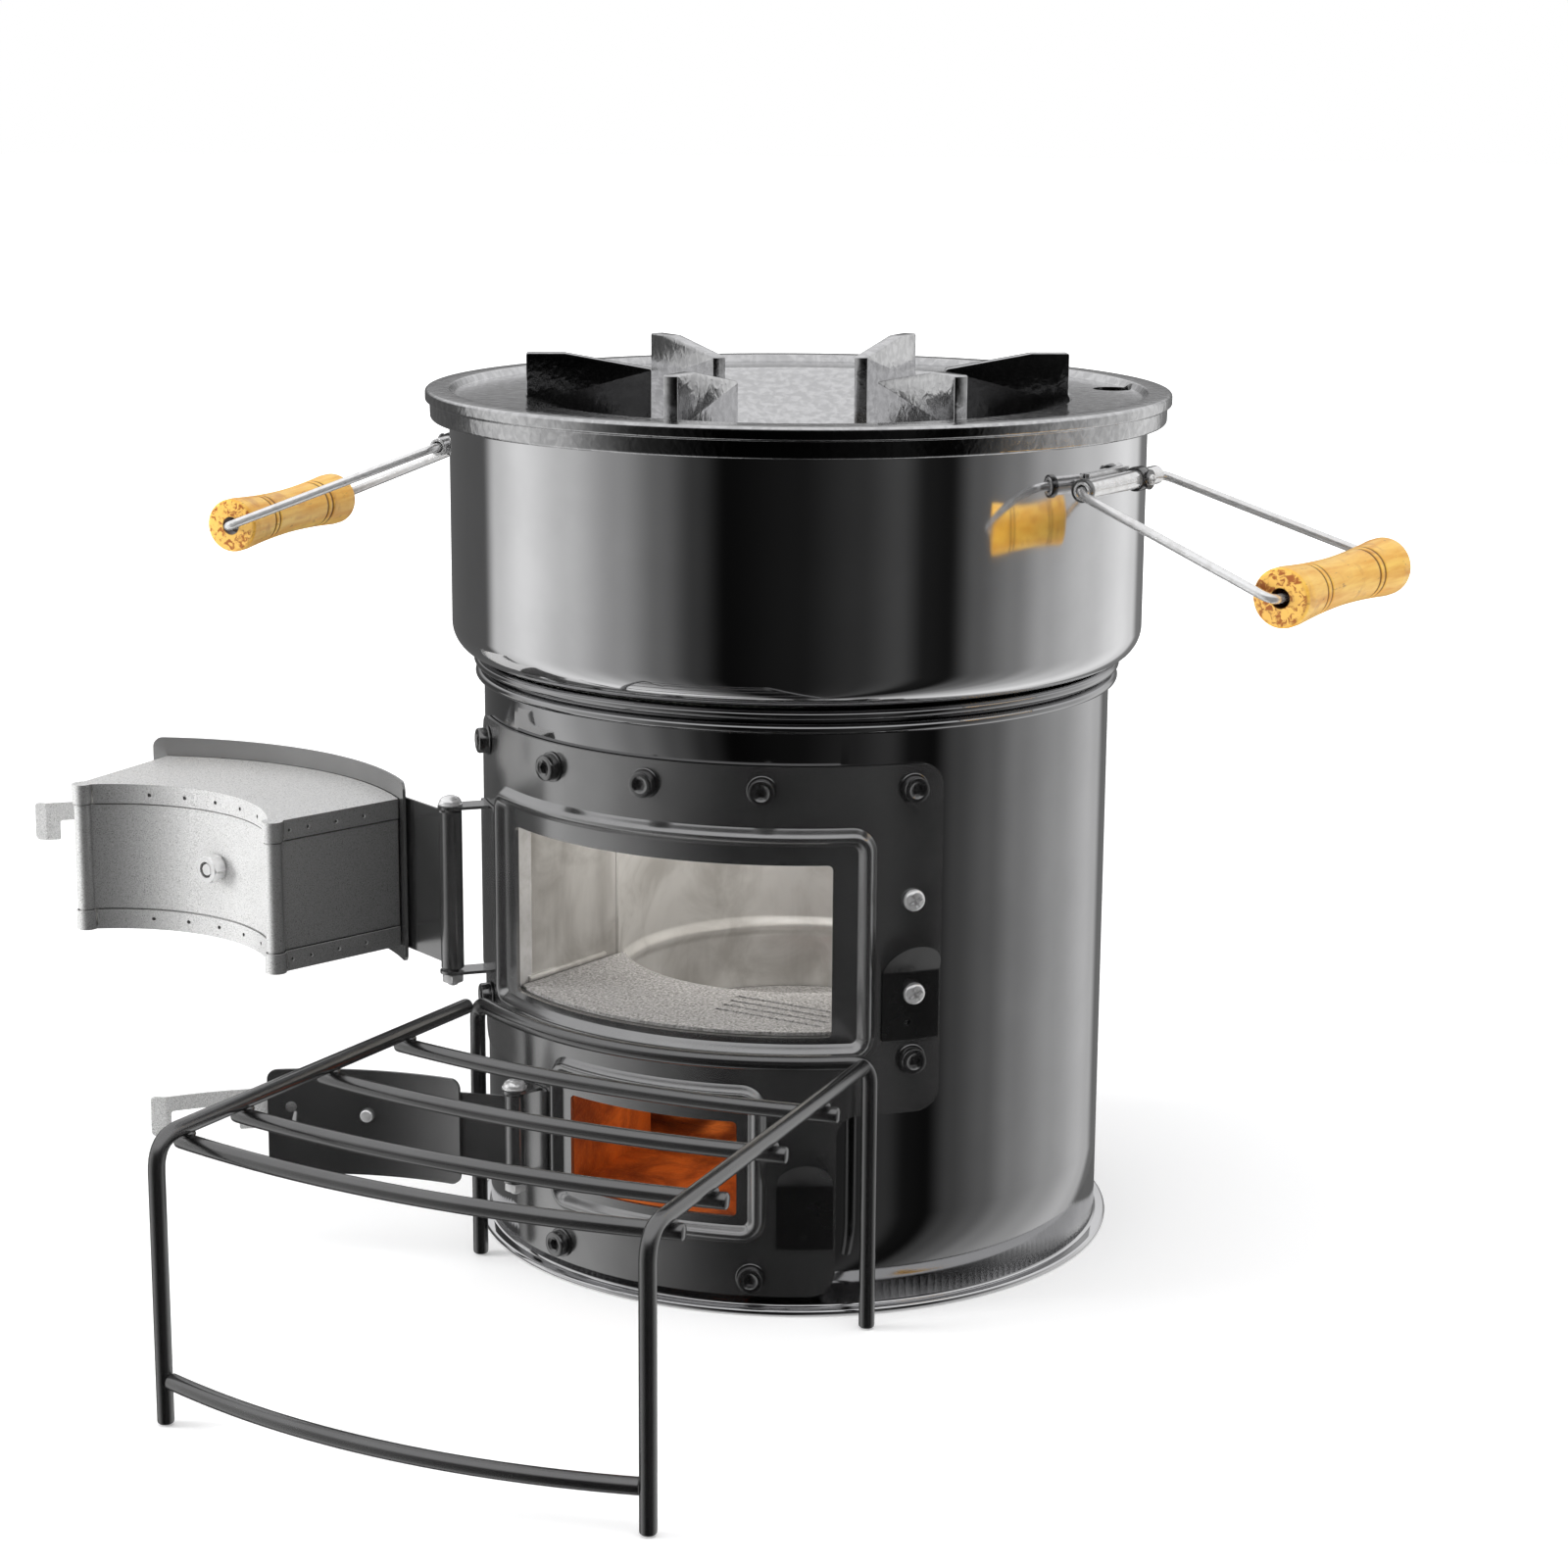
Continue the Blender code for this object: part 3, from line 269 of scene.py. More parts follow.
FEED_SWING = opened(FEED_HINGE, FEED_OPEN)
ASH_SWING = opened(ASH_HINGE, ASH_OPEN)
LYING = Matrix.Rotation(math.radians(90), 4, "X")
SIDEWAYS = Matrix.Rotation(math.radians(90), 4, "Y")


# Solids ------------------------------------------------------------------------------
def as_mesh(bm, name="working"):
    """Turn a bmesh into mesh data and free it."""
    mesh = bpy.data.meshes.new(name)
    bm.to_mesh(mesh)
    bm.free()
    return mesh


def linked(name, data):
    """Put a new object with this data into the scene."""
    result = bpy.data.objects.new(name, data)
    bpy.context.scene.collection.objects.link(result)
    return result


def clean(bm, distance):
    """Merge doubled vertices and turn the faces outwards."""
    bmesh.ops.remove_doubles(bm, verts=bm.verts[:], dist=distance)
    bmesh.ops.recalc_face_normals(bm, faces=bm.faces[:])


def place(bm, matrix):
    """Move a bmesh and return it."""
    bmesh.ops.transform(bm, matrix=matrix, verts=bm.verts[:])
    return bm


def merged(whole, *parts):
    """Put several closed bmeshes into one, still as separate shells."""
    for part in parts:
        mesh = as_mesh(part)
        whole.from_mesh(mesh)
        bpy.data.meshes.remove(mesh)
    return whole


def combine(bm, other, operation="DIFFERENCE"):
    """Cut or join bm with another closed bmesh and return the result."""
    pieces = []
    for source in (bm, other):
        clean(source, 1e-6)
        pieces.append(linked("working", as_mesh(source)))
    modifier = pieces[0].modifiers.new("combine", "BOOLEAN")
    modifier.operation = operation
    modifier.solver = "EXACT"
    modifier.object = pieces[1]
    bpy.context.view_layer.update()
    evaluated = pieces[0].evaluated_get(bpy.context.evaluated_depsgraph_get())
    result = bmesh.new()
    result.from_mesh(evaluated.to_mesh())
    evaluated.to_mesh_clear()
    for working in pieces:
        mesh = working.data
        bpy.data.objects.remove(working)
        bpy.data.meshes.remove(mesh)
    return result


def lathe(profile, segments=RING, hollow=True):
    """Turn a (radius, z) profile about Z. A hollow profile is a closed outline."""
    bm = bmesh.new()
    verts = [bm.verts.new((radius, 0.0, z)) for radius, z in profile]
    following = verts[1:] + verts[:1] if hollow else verts[1:]
    edges = [bm.edges.new(pair) for pair in zip(verts, following)]
    bmesh.ops.spin(bm, geom=verts + edges, axis=(0, 0, 1), cent=(0, 0, 0),
                   angle=math.tau, steps=segments, use_merge=True)
    bmesh.ops.remove_doubles(bm, verts=bm.verts[:], dist=1e-6)
    return bm


def cylinder(radius, z_low, z_high, segments=48):
    """A solid cylinder on the Z axis."""
    return lathe([(0, z_low), (radius, z_low), (radius, z_high), (0, z_high)], segments, False)


def tube(inner, outer, low, high, inset=0.0004, rise=0.0004):
    """A tube on the Z axis, chamfered round its outer edges."""
    return lathe([(inner, low), (outer - inset, low), (outer, low + rise), (outer, high - rise),
                  (outer - inset, high), (inner, high)], 48)


def bridge(bm, near, far):
    """Quads between two closed loops of vertices."""
    for index, vert in enumerate(near):
        bm.faces.new((near[index - 1], vert, far[index], far[index - 1]))


def ring_stack(rings, sides=48, hollow=False):
    """Solid through rings of (radius, z); a radius is a number or a function of the angle.

    A hollow one joins its last ring to its first.
    """
    bm = bmesh.new()
    loops = []
    turns = all_round(sides)
    for radius, z in rings:
        reach = [radius(t) if callable(radius) else radius for t in turns]
        points = [(r * math.cos(t), r * math.sin(t), z) for r, t in zip(reach, turns)]
        loops.append([bm.verts.new(point) for point in points])
    for near, far in zip(loops, loops[1:] + loops[:1] if hollow else loops[1:]):
        bridge(bm, near, far)
    if not hollow:
        bm.faces.new(loops[0])
        bm.faces.new(loops[-1])
    return bm


def hexagon(flat):
    """Radius function of a hexagon whose flats are this far from its middle."""
    return lambda angle: flat / math.cos(angle % (math.pi / 3) - math.pi / 6)


def cross(reach, width):
    """Radius function of a screwdriver cross."""
    def radius(angle):
        along = max(abs(math.cos(angle)), 1e-6)
        across = max(abs(math.sin(angle)), 1e-6)
        return max(min(reach / along, width / across), min(width / along, reach / across))
    return radius


def extruded(bm, shift):
    """Give the faces of a single surface a second side, this far off."""
    grown = bmesh.ops.extrude_face_region(bm, geom=bm.faces[:])
    moved = [item for item in grown["geom"] if isinstance(item, bmesh.types.BMVert)]
    bmesh.ops.translate(bm, verts=moved, vec=shift)
    return bm


def prism(outline, z_low, z_high):
    """Extrude a plan outline of (x, y) points upwards."""
    bm = bmesh.new()
    bm.faces.new([bm.verts.new((x, y, z_low)) for x, y in outline])
    return extruded(bm, (0, 0, z_high - z_low))


def block(left, right, half_y, half_z):
    """A box between two x values, centred in y and z."""
    return prism([(left, -half_y), (right, -half_y), (right, half_y), (left, half_y)],
                 -half_z, half_z)


def slice_at(bm, point, normal):
    """Add edges where a plane crosses the solid, so that it can bend there."""
    bmesh.ops.bisect_plane(bm, geom=bm.verts[:] + bm.edges[:] + bm.faces[:], dist=1e-7,
                           plane_co=point, plane_no=normal)


def wrap(bm, fold=None):
    """Roll an unrolled solid (s, radius, z) round the stove's axis.

    A fold is (axis index, where it starts, slope): beyond its start along s or z
    the plate leans outwards, through a short bend.
    """
    low = min(vert.co.x for vert in bm.verts)
    high = max(vert.co.x for vert in bm.verts)
    step = arc_length(WRAP_STEP)
    for index in range(math.ceil(low / step), math.floor(high / step) + 1):
        slice_at(bm, (index * step, 0, 0), (1, 0, 0))
    bend = 0.0012
    if fold is not None:
        axis, start, slope = fold
        direction = [float(index == axis) for index in range(3)]
        for part in range(5):
            slice_at(bm, [(start + bend * (part / 4)) * share for share in direction], direction)
    bmesh.ops.triangulate(bm, faces=[f for f in bm.faces if len(f.verts) > 4])
    for vert in bm.verts:
        s, radius, z = vert.co
        if fold is not None:
            past = max(0.0, vert.co[axis] - start)
            radius += slope * (past ** 2 / (2 * bend) if past < bend else past - bend / 2)
        vert.co = polar(math.degrees(s / PANEL_OUT), radius, z)
    return bm


def filled(bm, loops):
    """Fill between closed loops of vertices."""
    edges = []
    for loop in loops:
        for pair in zip(loop, loop[1:] + loop[:1]):
            edges.append(bm.edges.get(pair) or bm.edges.new(pair))
    bmesh.ops.triangle_fill(bm, use_beauty=True, edges=edges)


def sheet(outline, holes, inside, outside, fold=None):
    """A curved plate with holes, from unrolled outlines."""
    bm = bmesh.new()
    filled(bm, [[bm.verts.new((s, outside, z)) for s, z in loop] for loop in [outline, *holes]])
    return wrap(extruded(bm, (0, inside - outside, 0)), fold)


def rod(path, radius, closed=False, round_ends=True):
    """Round rod along a path of points."""
    path = [Vector(point) for point in path]
    bm = bmesh.new()
    rings = []
    normal = None
    for index, point in enumerate(path):
        before = path[index - 1] if index or closed else point
        after = path[(index + 1) % len(path)] if index + 1 < len(path) or closed else point
        tangent = ((after - point).normalized() + (point - before).normalized()).normalized()
        if normal is None:
            normal = tangent.orthogonal()
        normal = (normal - tangent * normal.dot(tangent)).normalized()
        side = tangent.cross(normal)
        steps, shift = [(0.0, 1.0)], 0.0
        if round_ends and not closed and index == 0:
            steps, shift = [(-0.3, 0.55), (-0.22, 0.82), (-0.08, 0.96), (0.15, 1.0)], 0.3
        if round_ends and not closed and index + 1 == len(path):
            steps, shift = [(-0.15, 1.0), (0.08, 0.96), (0.22, 0.82), (0.3, 0.55)], -0.3
        for along, share in steps:
            centre = point + tangent * (along * radius + shift * radius)
            spokes = [radius * share * (normal * math.cos(t) + side * math.sin(t))
                      for t in all_round(ROD_SIDES)]
            rings.append([bm.verts.new(centre + spoke) for spoke in spokes])
    for near, far in zip(rings, rings[1:] + rings[:1] if closed else rings[1:]):
        bridge(bm, near, far)
    if not closed:
        bm.faces.new(rings[0])
        bm.faces.new(rings[-1])
    return bm


def piece(bm, node, bevel=0.0, angle=32.0, seat=None, name=None, finish=None):
    """Turn a bmesh into a visible piece that moves with a CAD node's body.

    One without a name of its own stands for the node.
    """
    clean(bm, 2e-6)
    mesh = as_mesh(bm, name or f"{node}_fine")
    mesh.shade_smooth()
    mesh.set_sharp_from_angle(angle=math.radians(angle))
    slot = finish or SLOTS[node]
    mesh.materials.append(FINISHES[slot])
    result = linked(mesh.name, mesh)
    if seat is not None:
        result.matrix_world = seat
    if bevel:
        modifier = result.modifiers.new("edges", "BEVEL")
        modifier.width = bevel
        modifier.segments = 2
        modifier.limit_method = "ANGLE"
        modifier.angle_limit = math.radians(45)
        modifier.harden_normals = True
    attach(result, NODES[node]["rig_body"])
    if name is None:
        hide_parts(node)
    slot if slot in SLOTS.values() else SLOTS[node]
    return result


# Finishes ----------------------------------------------------------------------------
def rgba(colour):
    """Four channels from a grey, or from three or four channels."""
    return (*colour, 1.0)[:4] if isinstance(colour, tuple) else (colour, colour, colour, 1.0)


class Nodes:
    """A node tree under construction."""

    def __init__(self, tree):
        self.tree = tree

    def feed(self, source, target):
        """Link an output, or set a plain value."""
        if isinstance(source, bpy.types.NodeSocket):
            self.tree.links.new(source, target)
        else:
            target.default_value = rgba(source) if target.type == "RGBA" else source

    def node(self, kind, inputs=(), output=0, **settings):
        """Add a node, set its attributes, feed its inputs and return one of its outputs."""
        result = self.tree.nodes.new(kind)
        for key, value in settings.items():
            setattr(result, key, value)
        for key, source in dict(inputs).items():
            self.feed(source, result.inputs[key])
        return result.outputs[output] if result.outputs else None

    def maths(self, operation, first, second=0.0):
        """A Math node."""
        return self.node("ShaderNodeMath", {0: first, 1: second}, operation=operation)

    def leaning(self, direction, side):
        """How far a direction points to one side."""
        return self.node("ShaderNodeVectorMath", {0: direction, 1: side}, "Value",
                         operation="DOT_PRODUCT")

    def blended(self, share, first, second):
        """Mix two colours."""
        return self.node("ShaderNodeMix", {0: share, 6: first, 7: second}, 2, data_type="RGBA")


class Finish(Nodes):
    """A material under construction: a Principled shader fed by object-space patterns."""

    def __init__(self, name, colour, roughness, metallic=0.0):
        self.material = bpy.data.materials.new(name)
        self.material.use_nodes = True
        super().__init__(self.material.node_tree)
        self.shader = self.tree.nodes["Principled BSDF"].inputs
        self.drive("Base Color", colour)
        self.drive("Roughness", roughness)
        self.drive("Metallic", metallic)
        self.position = self.node("ShaderNodeTexCoord", output="Object")

    def drive(self, name, source):
        """Feed an input of the shader."""
        self.feed(source, self.shader[name])

    def noise(self, scale, detail=3.0, roughness=0.55, distortion=0.0, stretch=None):
        """Noise between 0 and 1, in coordinates that may be scaled per axis."""
        vector = self.position
        if stretch is not None:
            vector = self.node("ShaderNodeMapping", {"Scale": stretch, "Vector": vector})
        return self.node("ShaderNodeTexNoise", {
            "Scale": scale, "Detail": detail, "Roughness": roughness, "Distortion": distortion,
            "Vector": vector}, "Fac")

    def span(self, source, low, high, out_low, out_high):
        """Map a value's range onto another, clamped and smooth."""
        return self.node("ShaderNodeMapRange", {
            "Value": source, "From Min": low, "From Max": high, "To Min": out_low,
            "To Max": out_high}, interpolation_type="SMOOTHSTEP")

    def mottled(self, pattern, low, high, first, second, most=1.0):
        """Two colours, the second where a pattern is high."""
        return self.blended(self.span(pattern, low, high, 0.0, most), first, second)

    def rough(self, pattern, least, most, low=0.3, high=0.7):
        """Drive the roughness by a pattern."""
        self.drive("Roughness", self.span(pattern, low, high, least, most))

    def shaded(self, side, low, high, most):
        """Painted shade: darken the base colour of faces that look to one side of the studio."""
        towards = self.leaning(self.node("ShaderNodeNewGeometry", output="Normal"), side)
        tint = self.shader["Base Color"].links[0].from_socket
        self.drive("Base Color", self.mottled(towards, low, high, tint, 0.02, most))

    def bump(self, height, distance, strength=1.0):
        """Add relief of a depth in metres; calls stack."""
        normal = self.shader["Normal"]
        inputs = {"Distance": distance, "Strength": strength, "Height": height}
        if normal.links:
            inputs["Normal"] = normal.links[0].from_socket
        self.feed(self.node("ShaderNodeBump", inputs), normal)


def polished_steel(name, grey):
    """Mirror-bright dark shell with faint smears and fine vertical rub marks."""
    finish = Finish(name, grey, 0.06, 1.0)
    smear = finish.noise(26.0, 4.0)
    finish.rough(smear, 0.05, 0.10, 0.35, 0.75)
    finish.drive("Base Color", finish.mottled(smear, 0.3, 0.7, (grey, grey, grey * 1.01),
                                              (grey * 0.93, grey * 0.93, grey * 0.94)))
    finish.bump(finish.noise(900.0, 2.0, stretch=(1.0, 1.0, 0.05)), 0.000002, 0.4)
    return finish.material


def cast_iron():
    """Hammered casting: broad dimples, a finer grain, brighter where it is rubbed, and painted shade
    on faces that look front-right.
    """
    finish = Finish("cast_iron", (0.62, 0.62, 0.625), 0.16, 1.0)
    dimples = finish.noise(300.0, 1.5, 0.45, 0.5)
    finish.drive("Base Color", finish.mottled(dimples, 0.35, 0.68, (0.56, 0.56, 0.565),
                                              (0.70, 0.70, 0.705)))
    # Painted shade: faces that look front-right, towards the camera, are darkened nearly to black.
    finish.shaded((0.44, -0.90, 0.0), 0.80, 0.93, 0.88)
    finish.rough(finish.noise(1500.0, 2.0), 0.11, 0.20)
    finish.bump(dimples, 0.00016, 0.9)
    return finish.material


def black_paint(name, grey, roughness, metallic):
    """Glossy black heat paint with a faint orange-peel and handling marks."""
    finish = Finish(name, grey, roughness, metallic)
    cloud = finish.noise(40.0, 4.0)
    finish.drive("Base Color", finish.mottled(cloud, 0.35, 0.7, grey, grey * 1.1))
    finish.rough(cloud, roughness * 0.9, roughness * 1.2)
    finish.bump(finish.noise(700.0, 2.0), 0.000001, 0.5)
    return finish.material


def galvanised(name, shade):
    """Zinc-coated sheet: fine sparkle, a soft cloudy spangle, and painted shade on faces that look
    right.
    """
    finish = Finish(name, 0.7, 0.34, 0.30)
    sparkle = finish.noise(2400.0)
    spangle = finish.node("ShaderNodeTexVoronoi", {
        "Scale": 260.0, "Smoothness": 0.6, "Vector": finish.position}, feature="SMOOTH_F1")
    tint = finish.mottled(sparkle, 0.3, 0.7, (0.40, 0.40, 0.395), (0.80, 0.80, 0.79))
    finish.drive("Base Color", finish.mottled(spangle, 0.1, 0.7, tint, 0.62, 0.35))
    # Painted shade: faces that look right are darkened towards black by the given share.
    finish.shaded((0.95, -0.30, 0.0), 0.25, 0.85, shade)
    finish.rough(sparkle, 0.26, 0.46)
    finish.bump(sparkle, 0.00003, 0.6)
    return finish.material


def liner_steel():
    """Bare sheet, heat-stained in warm and cool clouds, with drawn streaks."""
    finish = Finish("liner_steel", (0.6, 0.59, 0.57), 0.45, 0.85)
    cloud = finish.noise(32.0, 5.0, distortion=0.8)
    streak = finish.noise(60.0, 4.0, stretch=(1.0, 1.0, 0.18))
    base = finish.mottled(cloud, 0.35, 0.7, (0.86, 0.85, 0.83), (0.60, 0.585, 0.56))
    finish.drive("Base Color", finish.mottled(streak, 0.45, 0.75, base, (0.40, 0.385, 0.36), 0.5))
    finish.rough(cloud, 0.34, 0.50)
    finish.bump(finish.noise(45.0), 0.0006, 0.35)
    return finish.material


def refractory():
    """Light grey castable with coarse and fine grains."""
    finish = Finish("refractory", (0.5, 0.49, 0.47), 0.92)
    grains = finish.noise(900.0, 4.0, 0.7)
    lumps = finish.noise(220.0)
    base = finish.mottled(grains, 0.35, 0.65, (0.13, 0.125, 0.12), (0.40, 0.39, 0.38))
    finish.drive("Base Color", finish.mottled(lumps, 0.4, 0.7, base, (0.26, 0.255, 0.25), 0.5))
    finish.bump(grains, 0.0005, 0.8)
    finish.bump(lumps, 0.0010, 0.5)
    return finish.material


def terracotta():
    """Burnt orange clay with darker scorched clouds and a rough face."""
    finish = Finish("terracotta", (0.45, 0.12, 0.03), 0.85)
    cloud = finish.noise(45.0, 5.0, 0.65, 0.5)
    grain = finish.noise(800.0, 4.0, 0.7)
    base = finish.mottled(cloud, 0.32, 0.68, (0.60, 0.135, 0.020), (0.20, 0.040, 0.008))
    finish.drive("Base Color", finish.mottled(grain, 0.5, 0.75, base, (0.66, 0.22, 0.05), 0.45))
    finish.bump(grain, 0.0004, 0.7)
    finish.bump(cloud, 0.0015, 0.6)
    return finish.material


def ceramic_wool():
    """Matted white fibre blanket."""
    finish = Finish("ceramic_wool", (0.82, 0.81, 0.77), 1.0)
    fibre = finish.noise(700.0, 5.0, 0.7, 1.5)
    finish.drive("Base Color", finish.blended(fibre, (0.66, 0.65, 0.61), (0.90, 0.89, 0.86)))
    finish.bump(fibre, 0.0012, 0.8)
    return finish.material


def bright_steel():
    """Zinc and nickel plate with hairline wear."""
    finish = Finish("bright_steel", 0.90, 0.14, 0.72)
    wear = finish.noise(300.0, 4.0)
    finish.drive("Base Color", finish.mottled(wear, 0.4, 0.75, 0.90, (0.68, 0.67, 0.66), 0.6))
    finish.rough(wear, 0.12, 0.24)
    finish.bump(wear, 0.00002, 0.5)
    return finish.material


def wood():
    """Lacquered turned wood: long grain, burnt rings in the grooves, dark mottled ends, painted shade
    in the bore.
    """
    finish = Finish("wood", (0.8, 0.5, 0.2), 0.32)
    finish.drive("Coat Weight", 0.15)
    finish.drive("Coat Roughness", 0.15)
    grain = finish.noise(240.0, 5.0, 0.6, stretch=(1.0, 1.0, 0.12))
    cloud = finish.noise(70.0, distortion=1.2)
    flecks = finish.noise(650.0, stretch=(1.0, 1.0, 0.3))
    base = finish.mottled(grain, 0.3, 0.72, (0.97, 0.60, 0.10), (0.80, 0.36, 0.030))
    base = finish.mottled(cloud, 0.5, 0.72, base, (0.52, 0.18, 0.015), 0.6)
    base = finish.mottled(flecks, 0.62, 0.74, base, (0.26, 0.09, 0.015), 0.6)
    x, y, z = finish.node("ShaderNodeSeparateXYZ", {0: finish.position}).node.outputs
    burn = 0.0
    for groove in GROOVES:
        away = finish.maths("ABSOLUTE", finish.maths("SUBTRACT", z, groove))
        burn = finish.maths("MAXIMUM", finish.span(away, 0.0003, 0.0010, 1.0, 0.0), burn)
    base = finish.blended(finish.maths("MULTIPLY", burn, 0.85), base, (0.11, 0.030, 0.006))
    blot = finish.noise(420.0, 5.0, distortion=1.0)
    rough_end = finish.mottled(blot, 0.46, 0.62, (0.80, 0.47, 0.10), (0.34, 0.10, 0.018))
    base = finish.mottled(finish.maths("ABSOLUTE", z), GRIP_HALF - 0.0006, GRIP_HALF - 0.0001,
                          base, rough_end)
    # Painted shade: the bore and a thin ring round its mouth are painted near black.
    squares = (finish.maths("MULTIPLY", side, side) for side in (x, y))
    away = finish.maths("SQRT", finish.maths("ADD", *squares))
    bore = finish.span(away, 0.0034, 0.0040, 1.0, 0.0)
    finish.drive("Base Color", finish.blended(bore, base, (0.05, 0.012, 0.003)))
    finish.rough(grain, 0.28, 0.45)
    finish.bump(grain, 0.0002, 0.4)
    return finish.material


FINISHES = {
    "polished_steel": polished_steel("polished_steel", 0.82),
    "dark_steel": polished_steel("dark_steel", 0.42),
    "bright_hem": polished_steel("bright_hem", 0.70),
    "cast_iron": cast_iron(),
    "panel_enamel": black_paint("panel_enamel", 0.34, 0.20, 0.95),
    "black_bolts": black_paint("black_bolts", 0.22, 0.18, 0.97),
    # Painted shade: a darker copy of the black paint, so the catch plates look shaded.
    "catch_black": black_paint("catch_black", 0.09, 0.24, 0.95),
    "rack_wire": black_paint("rack_wire", 0.19, 0.22, 0.97),
    "liner_steel": liner_steel(),
    "refractory": refractory(),
    "terracotta": terracotta(),
    "ceramic_wool": ceramic_wool(),
    # Painted shade: the box's zinc is darkened on right-facing faces; zinc_strip is the same zinc
    # without the painted shade.
    "galvanised": galvanised("galvanised", 0.72),
    "zinc_strip": galvanised("zinc_strip", 0.0),
    "bright_steel": bright_steel(),
    "wood": wood(),
}


# Shells and casting -------------------------------------------------------------------
def base_pan():
    """Flat bottom with a rolled flange round the barrel's foot."""
    wall = BARREL_R + 0.0001
    lip = 0.0011
    outline = [(0.0, 0.0), (0.1275, 0.0)]
    outline += arc((FLANGE_R - lip, lip), lip, -80, 90, 12)
    outline += arc((wall + 0.0010, 2 * lip + 0.0010), 0.0010, 270, 180, 6)
    outline += [(wall, 0.0012), (0.0, 0.0012)]
    piece(lathe(outline, hollow=False), "base_pan", angle=40)


def bead(centre_z, half, proud):
    """Half-round bead on the barrel's outside, with small fillets at its feet."""
    points = []
    for step in range(17):
        share = -1 + step / 8
        height = proud * max(0.0, 1 - abs(share) ** 2.2) ** 0.6
        points.append((BARREL_R + height, centre_z + half * share))
    return points


def lower_barrel():
    """Barrel with two rolled beads, open behind the front panel's openings."""
    outside = [(BARREL_R, z) for z in (0.0015, 0.0362, 0.0773, 0.1072, 0.1768)]
    outside += bead(0.2262, 0.0024, 0.0034) + bead(0.2315, 0.0024, 0.0040)
    bm = lathe(outside, hollow=False)
    openings = ((33.9, 0.1072, 0.1768), (16.9, 0.0362, 0.0773))
    for face in list(bm.faces):
        middle = face.calc_center_median()
        theta = math.degrees(math.atan2(middle.x, -middle.y))
        if any(abs(theta) < half and low < middle.z < high for half, low, high in openings):
            bm.faces.remove(face)
    barrel = piece(bm, "lower_barrel", finish="dark_steel")
    modifier = barrel.modifiers.new("sheet", "SOLIDIFY")
    modifier.thickness = SHEET
    modifier.offset = -1.0


def upper_shell():
    """Wide shell with a rounded bottom edge and a floor round the riser."""
    corner = 0.012
    centre = (SHELL_R - corner, NECK_Z + corner)
    outside = arc(centre, corner, -90, 0, 20)
    inside = arc(centre, corner - SHEET, 0, -90, 20)
    top = RIM_Z - 0.0066
    hole = RISER_R + 0.0005
    profile = [(hole, NECK_Z), *outside, (SHELL_R, top), (SHELL_R - SHEET, top), *inside,
               (hole, NECK_Z + SHEET)]
    piece(lathe(profile), "upper_shell")


def fin(theta):
    """One pot-support fin standing in the plate's bowl, with softened edges."""
    outline = [(0.058, RIM_Z - 0.0241, 0), (0.1005, RIM_Z - 0.0065, 0), (FIN_R, RIM_Z - 0.0043, 0),
               (FIN_R, RIM_Z + FIN_TOP, 0.0008), (0.092, RIM_Z + FIN_TOP, 0.003),
               (0.058, RIM_Z + 0.0070, 0.0010)]
    bm = prism(filleted(outline, 4), -0.003, 0.003)
    rims = [edge for edge in bm.edges if abs(edge.verts[0].co.z - edge.verts[1].co.z) < 1e-6]
    bmesh.ops.bevel(bm, geom=rims, offset=0.0006, segments=2, profile=0.5, affect="EDGES")
    upright = Matrix(((1, 0, 0, 0), (0, 0, -1, 0), (0, 1, 0, 0), (0, 0, 0, 1)))
    return place(bm, side_frame(theta, 0.0, 0.0) @ upright)


def top_plate():
    """Cast plate: stepped rim, recess, funnel to the riser, six fins, a lifting hole."""
    corners = [(0.1380, -0.0116, 0), (0.1448, -0.0116, 0.0012), (0.1450, -0.0050, 0.0004),
               (RIM_R, -0.0044, 0.0008), (RIM_R, 0.0, 0.0014), (0.1372, 0.0, 0.0012),
               (0.1352, -0.0027, 0.0010), (0.108, -0.0027, 0.004), (0.1005, -0.0048, 0.004),
               (0.056, -0.0233, 0.003), (0.050, -0.0240, 0.0006), (0.050, -0.0268, 0),
               (0.056, -0.0268, 0), (0.1010, -0.0083, 0), (0.108, -0.0063, 0),
               (0.1380, -0.0063, 0)]
    bm = lathe(filleted([(radius, RIM_Z + z, fillet) for radius, z, fillet in corners], 5))
    for index in range(6):
        bm = combine(bm, fin(60 * index), "UNION")
    theta, reach, radius = LIFTING_HOLE
    seat = Matrix.Translation(polar(theta, reach, RIM_Z))
    bm = combine(bm, place(cylinder(radius, -0.01, 0.01), seat))
    piece(bm, "top_plate", angle=38)


def outline_of_panel():
    """T-shaped outline of the front panel, unrolled."""
    wide = arc_length(PANEL_WIDE)
    narrow = arc_length(PANEL_NARROW)
    low, step, high = PANEL_Z
    return filleted([(-narrow, low, 0.010), (narrow, low, 0.010), (narrow, step, 0.008),
                     (wide, step, 0.009), (wide, high, 0.009), (-wide, high, 0.009),
                     (-wide, step, 0.009), (-narrow, step, 0.008)], 10)


def pressed_frame(bm, window):
    """Rounded ridge round an opening; returns its outer and inner loops."""
    count = 14
    loops = []
    for step in range(count + 1):
        share = step / count
        grow = -RIDGE_WIDTH * share
        radius = PANEL_OUT + RIDGE_HEIGHT * math.sin(math.pi * share) ** 1.25
        outline = rounded_window(window, grow, 0.0095 + grow, 10)
        loops.append([bm.verts.new((s, radius, z)) for s, z in outline])
    for near, far in zip(loops, loops[1:]):
        bridge(bm, near, far)
    return loops[0], loops[-1]


